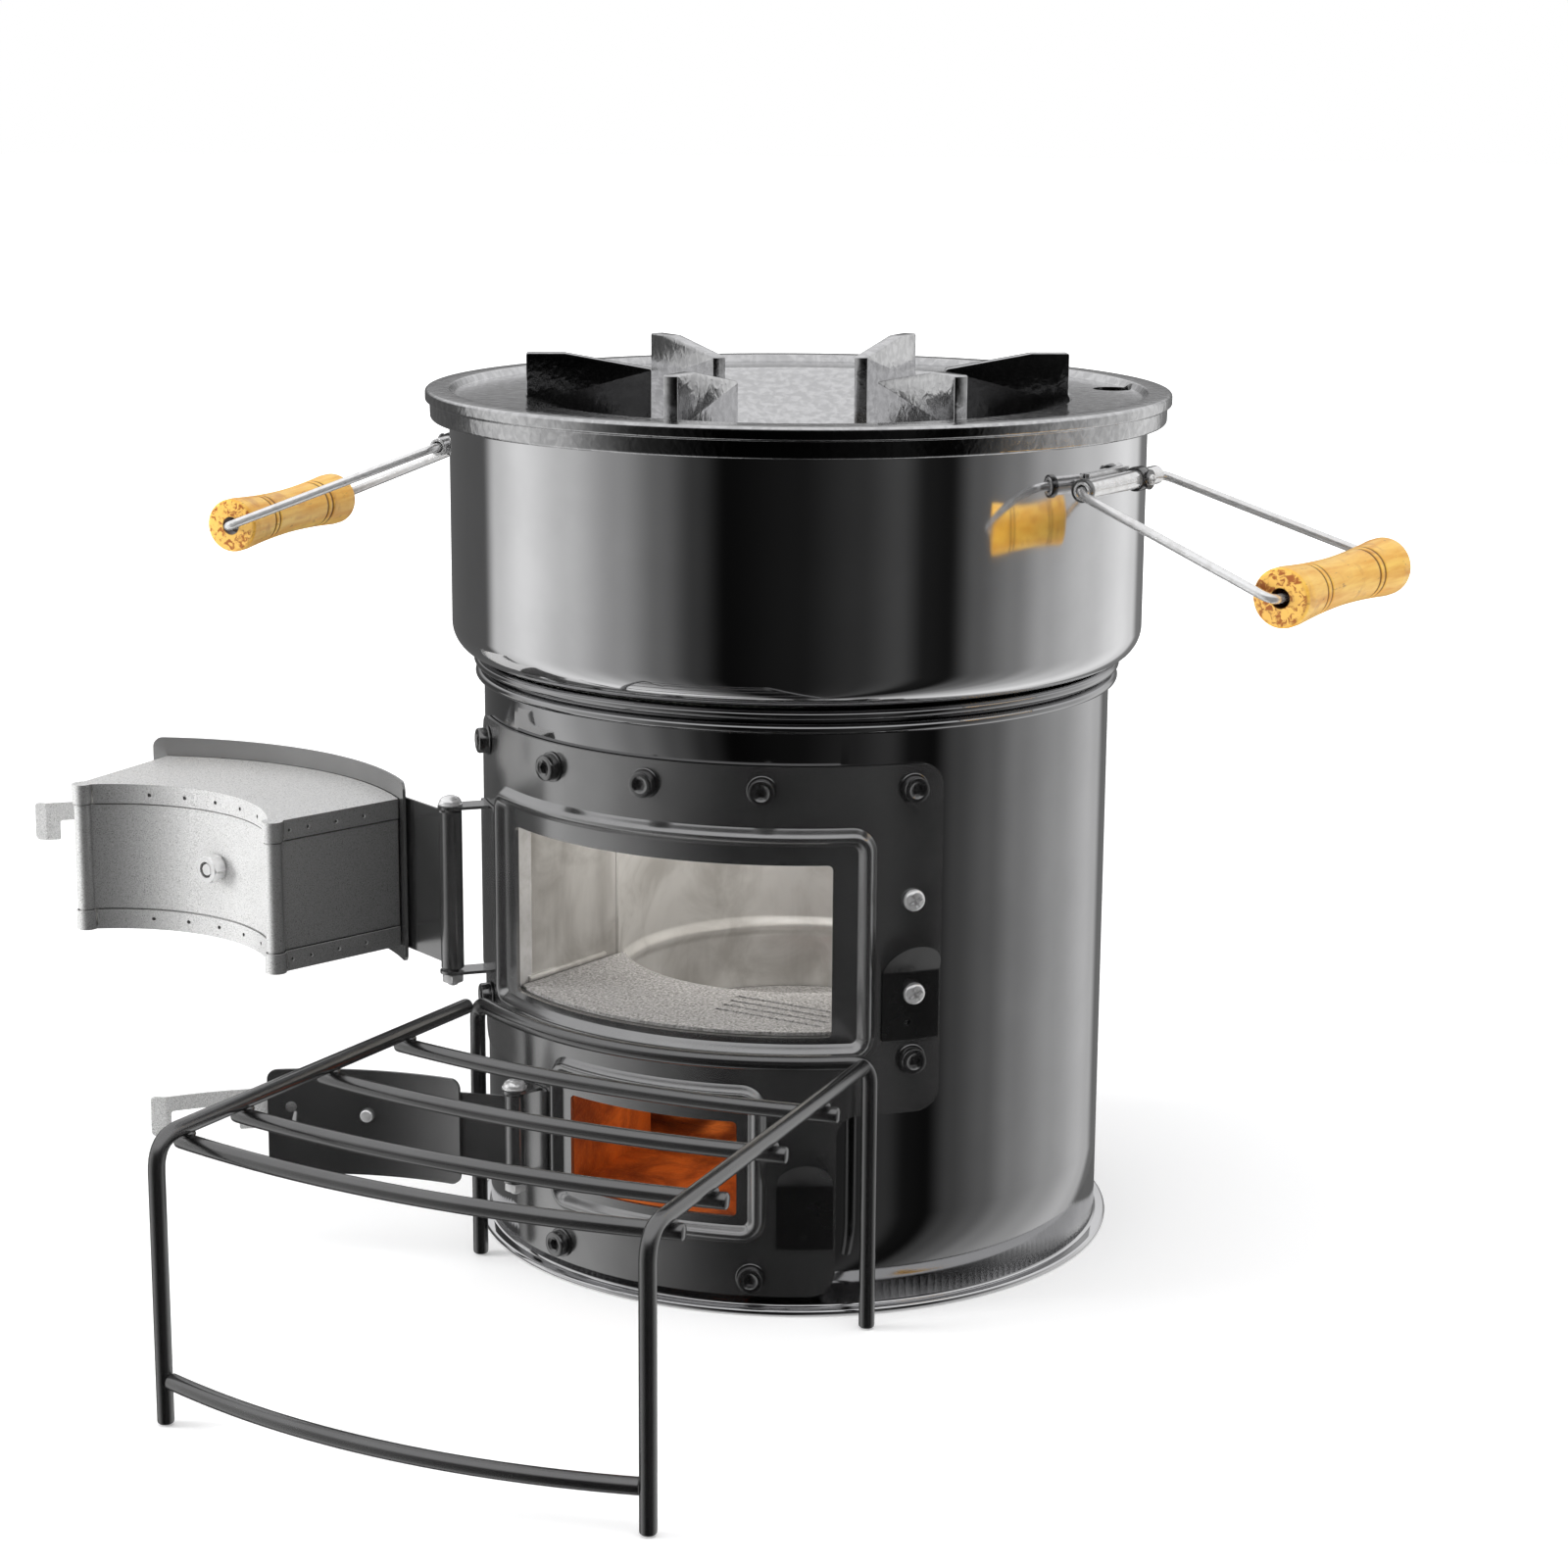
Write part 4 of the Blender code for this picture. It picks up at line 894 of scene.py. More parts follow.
def front_panel():
    """Pressed panel with a smooth raised frame round each opening."""
    bm = bmesh.new()
    outer = [[bm.verts.new((s, PANEL_OUT, z)) for s, z in outline_of_panel()]]
    inner = []
    for window, opening in ((FEED_FRAME, FEED_OPENING), (ASH_FRAME, ASH_OPENING)):
        outside, inside = pressed_frame(bm, window)
        hole = [bm.verts.new((s, PANEL_OUT, z)) for s, z in rounded_window(opening, 0.0, 0.002)]
        outer.append(outside)
        inner.append([inside, hole])
    for loops in [outer, *inner]:
        filled(bm, loops)
    piece(wrap(extruded(bm, (0, PANEL_IN - PANEL_OUT, 0))), "front_panel", bevel=0.00035)


# Inside ------------------------------------------------------------------------------
def duct_volume(mouth_half, throat_half, low, high):
    """Tapered block between the fire chamber and the front, from its half widths at both ends."""
    slope = (mouth_half - throat_half) / (DUCT_THROAT_Y - DUCT_MOUTH_Y)
    rear_y, front_y = DUCT_ENDS
    rear = throat_half + slope * (DUCT_THROAT_Y - rear_y)
    front = throat_half + slope * (DUCT_THROAT_Y - front_y)
    return prism([(-rear, rear_y), (-front, front_y), (front, front_y), (rear, rear_y)], low, high)


def riser_tube():
    """Chimney from the fire chamber to the cast plate, with a rolled seam bead."""
    low = 0.2062
    high = RIM_Z - 0.0271
    inner = RISER_R - 0.001
    bulge = [(inner - 0.0012 * math.sin(math.pi * step / 10) ** 2, 0.262 - 0.006 * step / 10)
             for step in range(11)]
    profile = [(inner, low), (RISER_R, low), (RISER_R, high), (inner, high), *bulge]
    piece(lathe(profile, 128), "riser_tube")


def fire_chamber():
    """Drum with a coned top, rolled beads and a mouth for the feed duct."""
    neck = RISER_R + 0.0015
    inner = CHAMBER_R - 0.001
    beads = []
    for centre in (0.1845, 0.0985):
        beads += [(inner - 0.0022 * math.cos(math.pi * step / 16) ** 2,
                   centre - 0.0050 * step / 8) for step in range(-8, 9)]
    profile = [(CHAMBER_R, CHAMBER_FOOT), (CHAMBER_R, 0.1960), (neck, 0.2058),
               (neck - 0.001, 0.2050), (inner, 0.1952), *beads, (inner, CHAMBER_FOOT)]
    mouth = duct_volume(0.0705, 0.0585, 0.1085, 0.1755)
    piece(combine(lathe(profile, 192), mouth), "fire_chamber")


def feed_duct():
    """Four-sided tapered duct from the feed opening to the fire chamber."""
    bm = duct_volume(0.0710, 0.0590, 0.1076, 0.1764)
    bm = combine(bm, duct_volume(0.0700, 0.0580, 0.1086, 0.1754))
    bm = combine(bm, cylinder(BARREL_R - 0.0011, 0.09, 0.19, RING), "INTERSECT")
    bm = combine(bm, cylinder(CHAMBER_R + GAP, 0.08, 0.20, 192))
    piece(bm, "feed_duct")
    for side, sign in (("left", -1), ("right", 1)):
        seam = [(sign * x, y, SEAM_Z) for x, y in (SEAM_FRONT, SEAM_REAR)]
        piece(rod(seam, 0.0013), "feed_duct", name=f"feed_duct_bead_{side}")
        jamb = prism([(sign * 0.0692, -0.1045), (sign * 0.0677, -0.0965), (sign * 0.0673, -0.0965),
                      (sign * 0.0688, -0.1045)], 0.1092, 0.1750)
        piece(jamb, "feed_duct", name=f"feed_duct_jamb_{side}", finish="bright_steel")


def chamber_floor():
    """Refractory: a round hearth, an apron up the chamber's front and a grooved sill."""
    lip = HEARTH_R - 0.0022
    sill = duct_volume(0.0690, 0.0570, SILL_Z - 0.0013, SILL_Z)
    sill = combine(sill, cylinder(BARREL_R - 0.0015, 0.10, 0.12, RING), "INTERSECT")
    sill = combine(sill, cylinder(lip + 0.0011, 0.10, 0.12, 192))
    for index in range(4):
        y = -0.0790 - 0.0062 * index
        groove = [(0.014, y), (0.060, y - 0.0030), (0.060, y - 0.0012), (0.014, y + 0.0018)]
        sill = combine(sill, prism(groove, SILL_Z - 0.0006, SILL_Z + 0.01))
    apron = duct_volume(0.0680, 0.0560, HEARTH_Z - 0.003, SILL_Z - GAP)
    apron = combine(apron, cylinder(HEARTH_R, 0.05, 0.12, 192), "INTERSECT")
    apron = combine(apron, cylinder(lip, 0.05, 0.12, 192))
    hearth = cylinder(HEARTH_R, HEARTH_Z - 0.006, HEARTH_Z, 192)
    hearth = combine(hearth, cylinder(0.048, 0.05, 0.12, 96))
    bm = combine(combine(sill, apron, "UNION"), hearth, "UNION")
    piece(bm, "chamber_floor")


def fire_grate():
    """Round iron grate with parallel round-ended slots."""
    low = HEARTH_Z - 0.0055
    high = HEARTH_Z - 0.0005
    bm = lathe([(0, low), (0.0475, low), (0.0475, high - 0.0008), (0.0467, high), (0, high)],
               96, hollow=False)
    for index, half in zip(range(-2, 3), (0.024, 0.034, 0.040, 0.034, 0.024)):
        x = index * 0.0155
        ends = arc((x, half - 0.0035), 0.0035, 0, 180, 12)
        ends += arc((x, 0.0035 - half), 0.0035, 180, 360, 12)
        bm = combine(bm, prism(ends, low - 0.005, high + 0.005))
    piece(bm, "fire_grate")


def ash_liner():
    """Clay liner: a passage from the ash opening that runs under the fire chamber."""
    floor = 0.0318
    bm = duct_volume(0.0435, 0.0435, floor, 0.0825)
    bm = combine(bm, cylinder(BARREL_R - 0.0015, 0.02, 0.09, RING), "INTERSECT")
    step = CHAMBER_FOOT - GAP
    bm = combine(bm, cylinder(CHAMBER_R + 0.0005, step, 0.09, 192))
    bm = combine(bm, cylinder(HEARTH_R, floor, step, 192), "UNION")
    bm = combine(bm, cylinder(0.0660, 0.0375, 0.1, 192))
    bm = combine(bm, duct_volume(0.0375, 0.0375, 0.0375, 0.0765))
    piece(bm, "ash_liner", bevel=0.0006)


# Fasteners ---------------------------------------------------------------------------
def socket_bolt(node, theta, z):
    """Socket-head bolt on a thin washer, pointing inwards."""
    rings = [(0.0004, -0.0065), (0.0028, -0.0065), (0.0028, GAP), (0.0058, GAP), (0.0058, 0.0007),
             (0.0055, 0.0009), (0.0050, 0.0009), (0.0050, 0.0038), (0.0047, 0.0043),
             (0.0043, 0.0045), (0.0032, 0.0045), (0.0029, 0.0043), (hexagon(0.0020), 0.0040),
             (hexagon(0.0019), 0.0022), (0.0004, 0.0018)]
    piece(ring_stack(rings), node, seat=radial_frame(theta, PANEL_OUT, z))


def pan_rings(length):
    """Rings of a domed screw with a cross recess."""
    dome = [(0.0042, GAP), (0.0043, 0.0010), (0.0041, 0.0017), (0.0036, 0.0023),
            (0.0031, 0.0026)]
    recess = [(cross(0.0028, 0.00075), 0.0027), (cross(0.0022, 0.00055), 0.0009),
              (0.0003, 0.0007)]
    return [(0.0003, -length), (0.0018, -length), (0.0018, GAP), *dome, *recess]


def fasteners():
    """Bolts and screws that hold the front panel and the catch."""
    for index, (theta, z) in enumerate(TOP_BOLTS + SIDE_BOLTS + FOOT_BOLTS, start=1):
        socket_bolt(f"panel_bolt_{index}", theta, z)
    for index, (theta, z, radius) in enumerate(CATCH_SCREWS, start=1):
        seat = radial_frame(theta, radius, z) @ Matrix.Rotation(math.radians(25), 4, "Z")
        piece(ring_stack(pan_rings(0.006), 96), f"catch_screw_{index}", seat=seat)


def catch(node, span, holes):
    """Plate on the panel whose round top leans out to hold a latch bar."""
    left, right, low, fold, top = span
    half = arc_length(right - left) / 2
    middle = arc_length((left + right) / 2)
    outline = [(middle - half, low), (middle + half, low)]
    for step in range(25):
        angle = math.radians(180 * step / 24)
        outline.append((middle + half * math.cos(angle), fold + (top - fold) * math.sin(angle)))
    bm = sheet(outline, holes, PANEL_OUT + GAP, PANEL_OUT + GAP + 0.001, (2, fold, 0.72))
    # Painted shade: the plate takes the darker copy of the black paint.
    piece(bm, node, bevel=0.00025, finish="catch_black")


def hex_nut(node, seat, bore, flat, height):
    """Chamfered hexagon nut standing on local z = 0."""
    rings = [(bore, 0.0), (flat, 0.0), (hexagon(flat), 0.0004), (hexagon(flat), height - 0.0005),
             (flat * 1.02, height), (bore + 0.0004, height), (bore, height - 0.0004)]
    piece(ring_stack(rings, 72, hollow=True), node, seat=seat, angle=24)


# Hinges, doors and latches -----------------------------------------------------------
def hinge_bracket(node, hinge, ears, half_angle):
    """Plate on the panel with a rounded ear above and below the door's sleeve."""
    theta, radius = hinge
    low, high = ears
    left, right = arc_length(theta - half_angle), arc_length(theta + half_angle)
    edge = filleted(rectangle(left, right, low, high, *[0.002] * 4), 5)
    bm = sheet(edge, [], PANEL_OUT + GAP, PANEL_OUT + 0.0015)
    for bottom in (low, high - EAR):
        outline = [(0.1275, -0.005), *arc((radius, 0.0), 0.005, -90, 90, 20), (0.1275, 0.005)]
        ear = place(prism(outline, bottom, bottom + EAR), side_frame(theta, 0.0, 0.0))
        bm = combine(bm, ear, "UNION")
    hole = place(cylinder(0.0024, low - 0.01, high + 0.01, 32), Matrix.Translation(polar(*hinge)))
    piece(combine(bm, hole), node, bevel=0.0002)


def hinge_pin(node, hinge, ears):
    """Bolt through the ears, domed head up."""
    low, high = ears
    rings = [(0.0010, low - 0.0052), (0.0019, low - 0.0048), (0.0021, low - 0.0045),
             (0.0021, high + GAP), (0.0048, high + GAP), (0.0048, high + 0.0009),
             (0.0044, high + 0.0010), (0.0043, high + 0.0018), (0.0036, high + 0.0029),
             (0.0022, high + 0.0036), (0.0008, high + 0.0038)]
    piece(ring_stack(rings), node, seat=Matrix.Translation(polar(*hinge)))


def door_leaf(node, hinge, ears, foot, sleeve_r, holes, swing):
    """Rolled sleeve on the hinge pin with a strap fixed to the door's skin."""
    near, far = foot
    low = ears[0] + EAR + 0.0008
    high = ears[1] - EAR - 0.0008
    strap_in = DOOR_OUT + GAP
    edge = filleted(rectangle(arc_length(near), arc_length(far), low + 0.001, high - 0.001,
                              0, 0.002, 0.002, 0))
    bm = sheet(edge, holes, strap_in, strap_in + 0.001)
    start = polar(near + 0.6, strap_in + 0.0005)
    end = polar(*hinge)
    along = (end - start).normalized()
    across = Vector((-along.y, along.x, 0)) * 0.0005
    stop = end - along * (sleeve_r - 0.0006)
    web = plan([start + across, start - across, stop - across, stop + across])
    bm = combine(bm, prism(web, low + 0.001, high - 0.001), "UNION")
    sleeve = place(tube(0.0025, sleeve_r, low, high), Matrix.Translation(end))
    piece(place(combine(bm, sleeve, "UNION"), swing), node, bevel=0.00015)


def box_outline(inset, back_radius):
    """Plan of the feed door's box: concave front, blunt corners, tapered sides, round back."""
    front_radius = BOX_FRONT[1] + inset
    front_half = polar(*BOX_FRONT).x - inset
    back_half = polar(*BOX_BACK).x - inset
    back_half += (back_half - front_half) / 0.0630 * (back_radius - BOX_BACK[1])
    front_angle = math.degrees(math.asin(front_half / front_radius))
    back_angle = math.degrees(math.asin(back_half / back_radius))
    front = [polar(front_angle * step / 24, front_radius) for step in range(-24, 25)]
    back = [polar(back_angle * step / 16, back_radius) for step in range(16, -17, -1)]
    ends = (front[0], front[-1])
    cuts = [near + (far - near).normalized() * POST_INSET
            for near, far in zip(ends, (back[-1], back[0]))]
    kept = [point for point in front if min((point - end).length for end in ends) > POST_INSET]
    return plan([cuts[0], *kept, cuts[1], *back])


def box_corner(sign):
    """A front corner of the box, and the direction from it along the side."""
    corner = polar(sign * BOX_FRONT[0], BOX_FRONT[1])
    return corner, (polar(sign * BOX_BACK[0], BOX_BACK[1]) - corner).normalized()


def posts(radius, low, high):
    """The two round corner posts at the front of the box."""
    both = []
    for sign in (-1, 1):
        corner, along_side = box_corner(sign)
        along_front = -sign * polar(sign * BOX_FRONT[0] + 90, 1.0)
        seat = corner + (along_side + along_front).normalized() * POST_INSET
        both.append(place(cylinder(radius, low, high), Matrix.Translation(seat)))
    return merged(*both)


def punches(z):
    """Small round punches along a cap's skirt: five on the front, four on each side."""
    seats = [facing(polar(12.75 * step, BOX_FRONT[1], z), -polar(12.75 * step, 1.0))
             for step in range(-2, 3)]
    front, back = polar(*BOX_FRONT), polar(*BOX_BACK)
    out = Vector((front.y - back.y, back.x - front.x, 0)).normalized()
    out = out if out.x > 0 else -out
    for sign in (-1, 1):
        for share in (0.17, 0.31, 0.52, 0.73):
            spot = front.lerp(back, share)
            seats.append(facing(Vector((sign * spot.x, spot.y, z)),
                                Vector((sign * out.x, out.y, 0))))
    rings = [(0.0003, -0.0012), (0.0007, -0.0010), (0.0010, 0.0010), (0.0003, 0.0012)]
    return merged(*(place(ring_stack(rings, 16), seat) for seat in seats))


def corner_slots(low, high):
    """Thin upright cutters where a cap's skirt stops beside the corner posts."""
    slots = []
    reach = POST_INSET + BOX_POST_R - 0.0002
    for sign in (-1, 1):
        corner, side = box_corner(sign)
        theta = sign * (BOX_FRONT[0] - math.degrees(reach / BOX_FRONT[1]))
        for spot, across in ((corner + side * reach, side),
                             (polar(theta, BOX_FRONT[1]), polar(theta + 90, 1.0))):
            normal = Vector((-across.y, across.x, 0))
            ends = [spot + across * a * 0.0004 + normal * b * 0.0022 for a, b in
                    ((-1, -1), (1, -1), (1, 1), (-1, 1))]
            slots.append(prism(plan(ends), low, high))
    return merged(*slots)


def box_cap(node, low, high, up):
    """Lid of the box with a skirt that stops beside the corner posts, and punched marks."""
    base, lid = (low, high) if up else (high, low)
    bm = prism(box_outline(0.0, 0.1268), low, high)
    bm = combine(bm, posts(BOX_POST_R + 0.0006, low, high), "UNION")
    hollow = (low - 0.02, high - SHEET) if up else (low + SHEET, high + 0.02)
    bm = combine(bm, prism(box_outline(0.0006, 0.140), *hollow))
    bm = combine(bm, posts(BOX_POST_R + 0.0001, *hollow))
    window = (low - 0.001, high - 0.0016) if up else (low + 0.0016, high + 0.001)
    bm = combine(bm, corner_slots(*window))
    middle = base + (lid - base) * 0.45
    bm = combine(bm, punches(middle))
    piece(place(bm, FEED_SWING), node, bevel=0.00025)


def box_walls(low, high):
    """Upright walls with corner posts, set back behind the caps' skirts."""
    waist = (low + CAP_SKIRT + 0.0007 - 0.0011, high - CAP_SKIRT - 0.0007 + 0.0011)
    walls = prism(box_outline(0.0014, 0.1268), low, high)
    walls = combine(walls, prism(box_outline(0.0004, 0.1267), *waist), "UNION")
    walls = combine(walls, posts(BOX_POST_R - 0.0006, low, high), "UNION")
    walls = combine(walls, posts(BOX_POST_R, *waist), "UNION")
    core = prism(box_outline(0.0020, 0.140), low - 0.01, high + 0.01)
    return combine(walls, core)


PIVOT_HEAD = [(0.0025, LATCH_OUT + GAP), (0.0050, LATCH_OUT + GAP), (0.0050, LATCH_OUT + 0.0012),
              (0.0046, LATCH_OUT + 0.0022), (0.0034, LATCH_OUT + 0.0029),
              (0.0008, LATCH_OUT + 0.0032)]


def door_skin(node, window, holes, swing):
    """Curved outer sheet of a door."""
    skin = sheet(rounded_window(window, 0.0, 0.004), holes, DOOR_IN, DOOR_OUT)
    piece(place(skin, swing), node, bevel=0.0002)


def feed_door():
    """Skin, insulated box, centre bolt and nut of the feed door."""
    bolt_hole = 0.0028
    door_skin("feed_door_skin", FEED_SKIN, [round_hole(0, FEED_BOLT_Z, bolt_hole)], FEED_SWING)
    low, high = BOX_Z
    walls = box_walls(low + 0.0011, high - 0.0011)
    hole = place(cylinder(bolt_hole, -0.05, 0.05, 32), radial_frame(0, 0.10, FEED_BOLT_Z))
    piece(place(combine(walls, hole), FEED_SWING), "feed_door_box", bevel=0.00015)
    box_cap("feed_door_box_top", high - CAP_SKIRT, high, True)
    box_cap("feed_door_box_bottom", low, low + CAP_SKIRT, False)
    nut_r = BOX_FRONT[1] - GAP
    rings = [(0.0012, nut_r - 0.0058), (0.0022, nut_r - 0.0058), (0.0025, nut_r - 0.0054)]
    piece(ring_stack(rings + PIVOT_HEAD), "feed_door_bolt",
          seat=FEED_SWING @ radial_frame(0, 0, FEED_BOLT_Z))
    hex_nut("feed_door_nut", FEED_SWING @ radial_frame(0, nut_r - 0.0062, FEED_BOLT_Z),
            0.0033, 0.0052, 0.0062)


def ash_door():
    """Skin, leaf screw and latch pivot of the ash door."""
    holes = [round_hole(0, ASH_BOLT_Z, 0.0028), round_hole(*ASH_SCREW, 0.0021),
             round_hole(13.5, 0.0620, 0.0022)]
    door_skin("ash_door_skin", ASH_SKIN, holes, ASH_SWING)
    seat = ASH_SWING @ radial_frame(ASH_SCREW[0], DOOR_OUT + 0.0013, ASH_SCREW[1])
    piece(ring_stack(pan_rings(0.0035), 96), "ash_door_screw", seat=seat)
    rings = [(0.0008, DOOR_IN - 0.0022), (0.0021, DOOR_IN - 0.0020), (0.0025, DOOR_IN - 0.0016)]
    piece(ring_stack(rings + PIVOT_HEAD), "ash_latch_pivot",
          seat=ASH_SWING @ radial_frame(0, 0, ASH_BOLT_Z))


def latch_bar(node, span, notch, bolt_z, bend_from, swing):
    """Flat bar outside a door, notched over the catch, its end bent outwards."""
    left, right, low, high = span
    cut_left, cut_right, cut_top = notch
    corners = ((left, low, 0.003), (cut_left, low, 0.0008), (cut_left, cut_top, 0.001),
               (cut_right, cut_top, 0.001), (cut_right, low, 0.0008), (right, low, 0.0015),
               (right, high, 0.0015), (left, high, 0.003))
    outline = filleted([(arc_length(theta), z, radius) for theta, z, radius in corners], 5)
    fold = (0, arc_length(bend_from), 0.7)
    bm = sheet(outline, [round_hole(0, bolt_z, 0.0028)], LATCH_IN, LATCH_OUT, fold)
    piece(place(bm, swing), node, bevel=0.0002, finish="zinc_strip")


# Handles -----------------------------------------------------------------------------
def handle_bracket(side, seat):
    """Tube on a curved foot, with black end rings and a black clip held by a screw."""
    node = f"{side}_handle_bracket"
    curve = cylinder(SHELL_R + GAP, HANDLE_Z - 0.02, HANDLE_Z + 0.02, 512)
    bm = place(tube(0.0023, 0.0036, -0.030, 0.030), LYING)
    bm = combine(bm, block(-0.0066, -0.0028, 0.008, 0.0012), "UNION")
    bm = combine(bm, block(-0.0100, -0.0042, 0.016, 0.0045), "UNION")
    piece(combine(bm, place(curve, seat.inverted())), node, seat=seat, bevel=0.0002)
    washer = [(0.0008, 0.0), (0.0036, 0.0), (0.0038, 0.0002), (0.0038, 0.0009), (0.0036, 0.0011),
              (0.0008, 0.0011)]
    screw = [(0.0004, 0.0), (0.0021, 0.0), (0.0021, 0.0006), (0.0018, 0.0011),
             (cross(0.0013, 0.00035), 0.0013), (cross(0.0010, 0.0003), 0.0004), (0.0002, 0.0003)]
    for name, bm, x, y, turn, finish in (
            ("ring", tube(0.0037, 0.0044, -0.0014, 0.0014, 0.0002), 0, -0.0285, LYING, "black_bolts"),
            ("clip", tube(0.0037, 0.0047, -0.003, 0.003, 0.0003, 0.0005), 0, CLIP_Y, LYING,
             "black_bolts"),
            ("clip_washer", ring_stack(washer), 0.0044, CLIP_Y, SIDEWAYS, "black_bolts"),
            ("clip_screw", ring_stack(screw), 0.0055, CLIP_Y, SIDEWAYS, "bright_steel")):
        piece(place(bm, Matrix.Translation((x, y, 0)) @ turn), node, seat=seat,
              name=f"{side}_handle_{name}", finish=finish)


def grip_radius(z):
    """Radius of the turned grip along its length: a waist and burnt grooves."""
    radius = 0.0090 + 0.0018 * min(1.0, abs(z) / 0.040) ** 1.8
    for groove in GROOVES:
        radius -= 0.00055 * math.exp(-((z - groove) / 0.0006) ** 2)
    return radius


def grip(node, seat):
    """Turned wooden grip on the bail; its own z axis runs along it."""
    crown = 0.0016
    flat = GRIP_HALF - crown
    side = [(grip_radius(z), z) for z in (flat - 2 * flat * step / 160 for step in range(161))]
    edge = side[0][0] - crown
    top = arc((edge, flat), crown, 90, 0, 6)[:-1]
    bottom = arc((edge, -flat), crown, 0, -90, 6)[1:]
    bore = [(0.0037, 0.0), (0.0034, 0.0006), (0.0033, 0.0050), (0.0023, 0.0060)]
    rising = [(radius, depth - GRIP_HALF) for radius, depth in bore]
    falling = [(radius, GRIP_HALF - depth) for radius, depth in reversed(bore)]
    return piece(lathe([*top, *side, *bottom, *rising, *falling], 96), node, seat=seat)


def handle(side, theta, droop_angle):
    """Bracket, wire bail and wooden grip of one handle."""
    seat = side_frame(theta, HANDLE_R, HANDLE_Z)
    handle_bracket(side, seat)
    seat = seat @ Matrix.Rotation(math.radians(droop_angle), 4, "Y")
    wide = GRIP_HALF + 0.006
    corners = [(0, 0, 0), (0, PIVOT_HALF, 0), (HANDLE_ARM, wide, 0), (HANDLE_ARM, -wide, 0),
               (0, -PIVOT_HALF, 0), (0, -0.001, 0)]
    wire = piece(rod(bent(corners, 0.006, 12), BAIL_R, closed=True), f"{side}_bail", seat=seat)
    held = grip(f"{side}_grip", seat @ Matrix.Translation((HANDLE_ARM, 0, 0)) @ LYING)
    for part in (wire, held):
        part.visible_glossy = side == "right"


# Fuel rack ---------------------------------------------------------------------------
def rack_edge(y):
    """Half width of the rack at a distance in front of the stove."""
    share = (y - RACK_REAR[1]) / (RACK_FRONT[1] - RACK_REAR[1])
    return RACK_REAR[0] + share * (RACK_FRONT[0] - RACK_REAR[0])


def bowed(y, half, bow, z, steps=28):
    """Cross rod that bows towards the front."""
    shares = [-1 + 2 * step / steps for step in range(steps + 1)]
    return [(RACK_X + half * share, y - bow * (1 - share ** 2), z) for share in shares]


def weld(spot):
    """Small flattened weld bead where two rods meet."""
    rings = [(0.0006 + 0.0022 * math.cos(math.radians(a)) ** 0.8, 0.0015 * math.sin(math.radians(a)))
             for a in range(-84, 85, 12)]
    return place(ring_stack(rings, 20), Matrix.Translation(spot))


def fuel_rack():
    """Wire shelf in front of the feed opening that carries long fuel."""
    rear_half, rear_y = RACK_REAR
    front_half, front_y = RACK_FRONT
    clearance = 2 * RACK_ROD + GAP
    for side, sign in (("left", -1), ("right", 1)):
        start_y = rear_y - clearance
        path = bent([(RACK_X + sign * rack_edge(start_y), start_y, RACK_TOP),
                     (RACK_X + sign * front_half, front_y, RACK_TOP),
                     (RACK_X + sign * front_half, front_y, 0.0)], 0.012)
        piece(rod(path, RACK_ROD), f"rack_rail_{side}")
    hoop = bowed(rear_y, rear_half, 0.0285, RACK_TOP, 32)
    left = bent([(*hoop[0][:2], 0.0), hoop[0], hoop[3]], 0.008)
    right = bent([hoop[-4], hoop[-1], (*hoop[-1][:2], 0.0)], 0.008)
    piece(rod([*left, *hoop[4:-4], *right], RACK_ROD), "rack_rear_hoop")
    rows = [(f"rack_bar_{index}", y, 0.006, 0.010) for index, y in
            enumerate(RACK_BARS, start=1)]
    rows.append(("rack_front_bar", front_y + 0.018, 0.005, 0.012))
    for node, y, beyond, bow in rows:
        bar = rod(bowed(y, rack_edge(y) + beyond, bow, RACK_TOP - clearance), RACK_ROD)
        ends = [weld((RACK_X + sign * rack_edge(y), y - 0.0012, RACK_TOP - clearance / 2))
                for sign in (-1, 1)]
        piece(merged(bar, *ends), node)
    half = front_half - RACK_ROD - GAP
    piece(rod(bowed(front_y, half, 0.014, BRACE_Z), RACK_ROD, round_ends=False), "rack_brace")


# Studio ------------------------------------------------------------------------------
CAMERA_AT = Vector((0.5638, -1.1560, 0.4664))
CAMERA_TURN = (26.207, 12.665, 0.395)        # azimuth, tilt down, roll, in degrees
LENS = 74.65

# Brightness of the studio round the stove, by the angle from the camera's side
SURROUND = [(-180, 0.12), (-124, 0.09), (-116, 0.60), (-100, 0.80), (-80, 0.55), (-60, 0.30),
            (-45, 0.13), (-33, 0.04), (-23, 0.004), (0, 0.010), (20, 0.03), (33, 0.06),
            (42, 0.012), (50, 0.008), (60, 0.10), (75, 0.20), (88, 0.38), (110, 0.60),
            (135, 0.85), (146, 0.70), (155, 0.20), (180, 0.12)]
SKY_LEAN = (-0.075, 0.150, 1.0)              # the sky is bright on this side


def camera():
    """Camera of the studio shot."""
    azimuth, tilt, roll = (math.radians(angle) for angle in CAMERA_TURN)
    ahead = Vector((-math.sin(azimuth) * math.cos(tilt), math.cos(azimuth) * math.cos(tilt),
                    -math.sin(tilt)))
    right = Vector((math.cos(azimuth), math.sin(azimuth), 0.0))
    up = right.cross(ahead)
    side = right * math.cos(roll) + up * math.sin(roll)
    top = -right * math.sin(roll) + up * math.cos(roll)
    data = bpy.data.cameras.new("studio_camera")
    data.lens = LENS
    data.sensor_width = 36.0
    data.clip_start = 0.05
    data.clip_end = 60.0
    result = linked("studio_camera", data)
    turn = Matrix((side, top, -ahead)).transposed().to_4x4()
    result.matrix_world = Matrix.Translation(CAMERA_AT) @ turn
    bpy.context.scene.camera = result


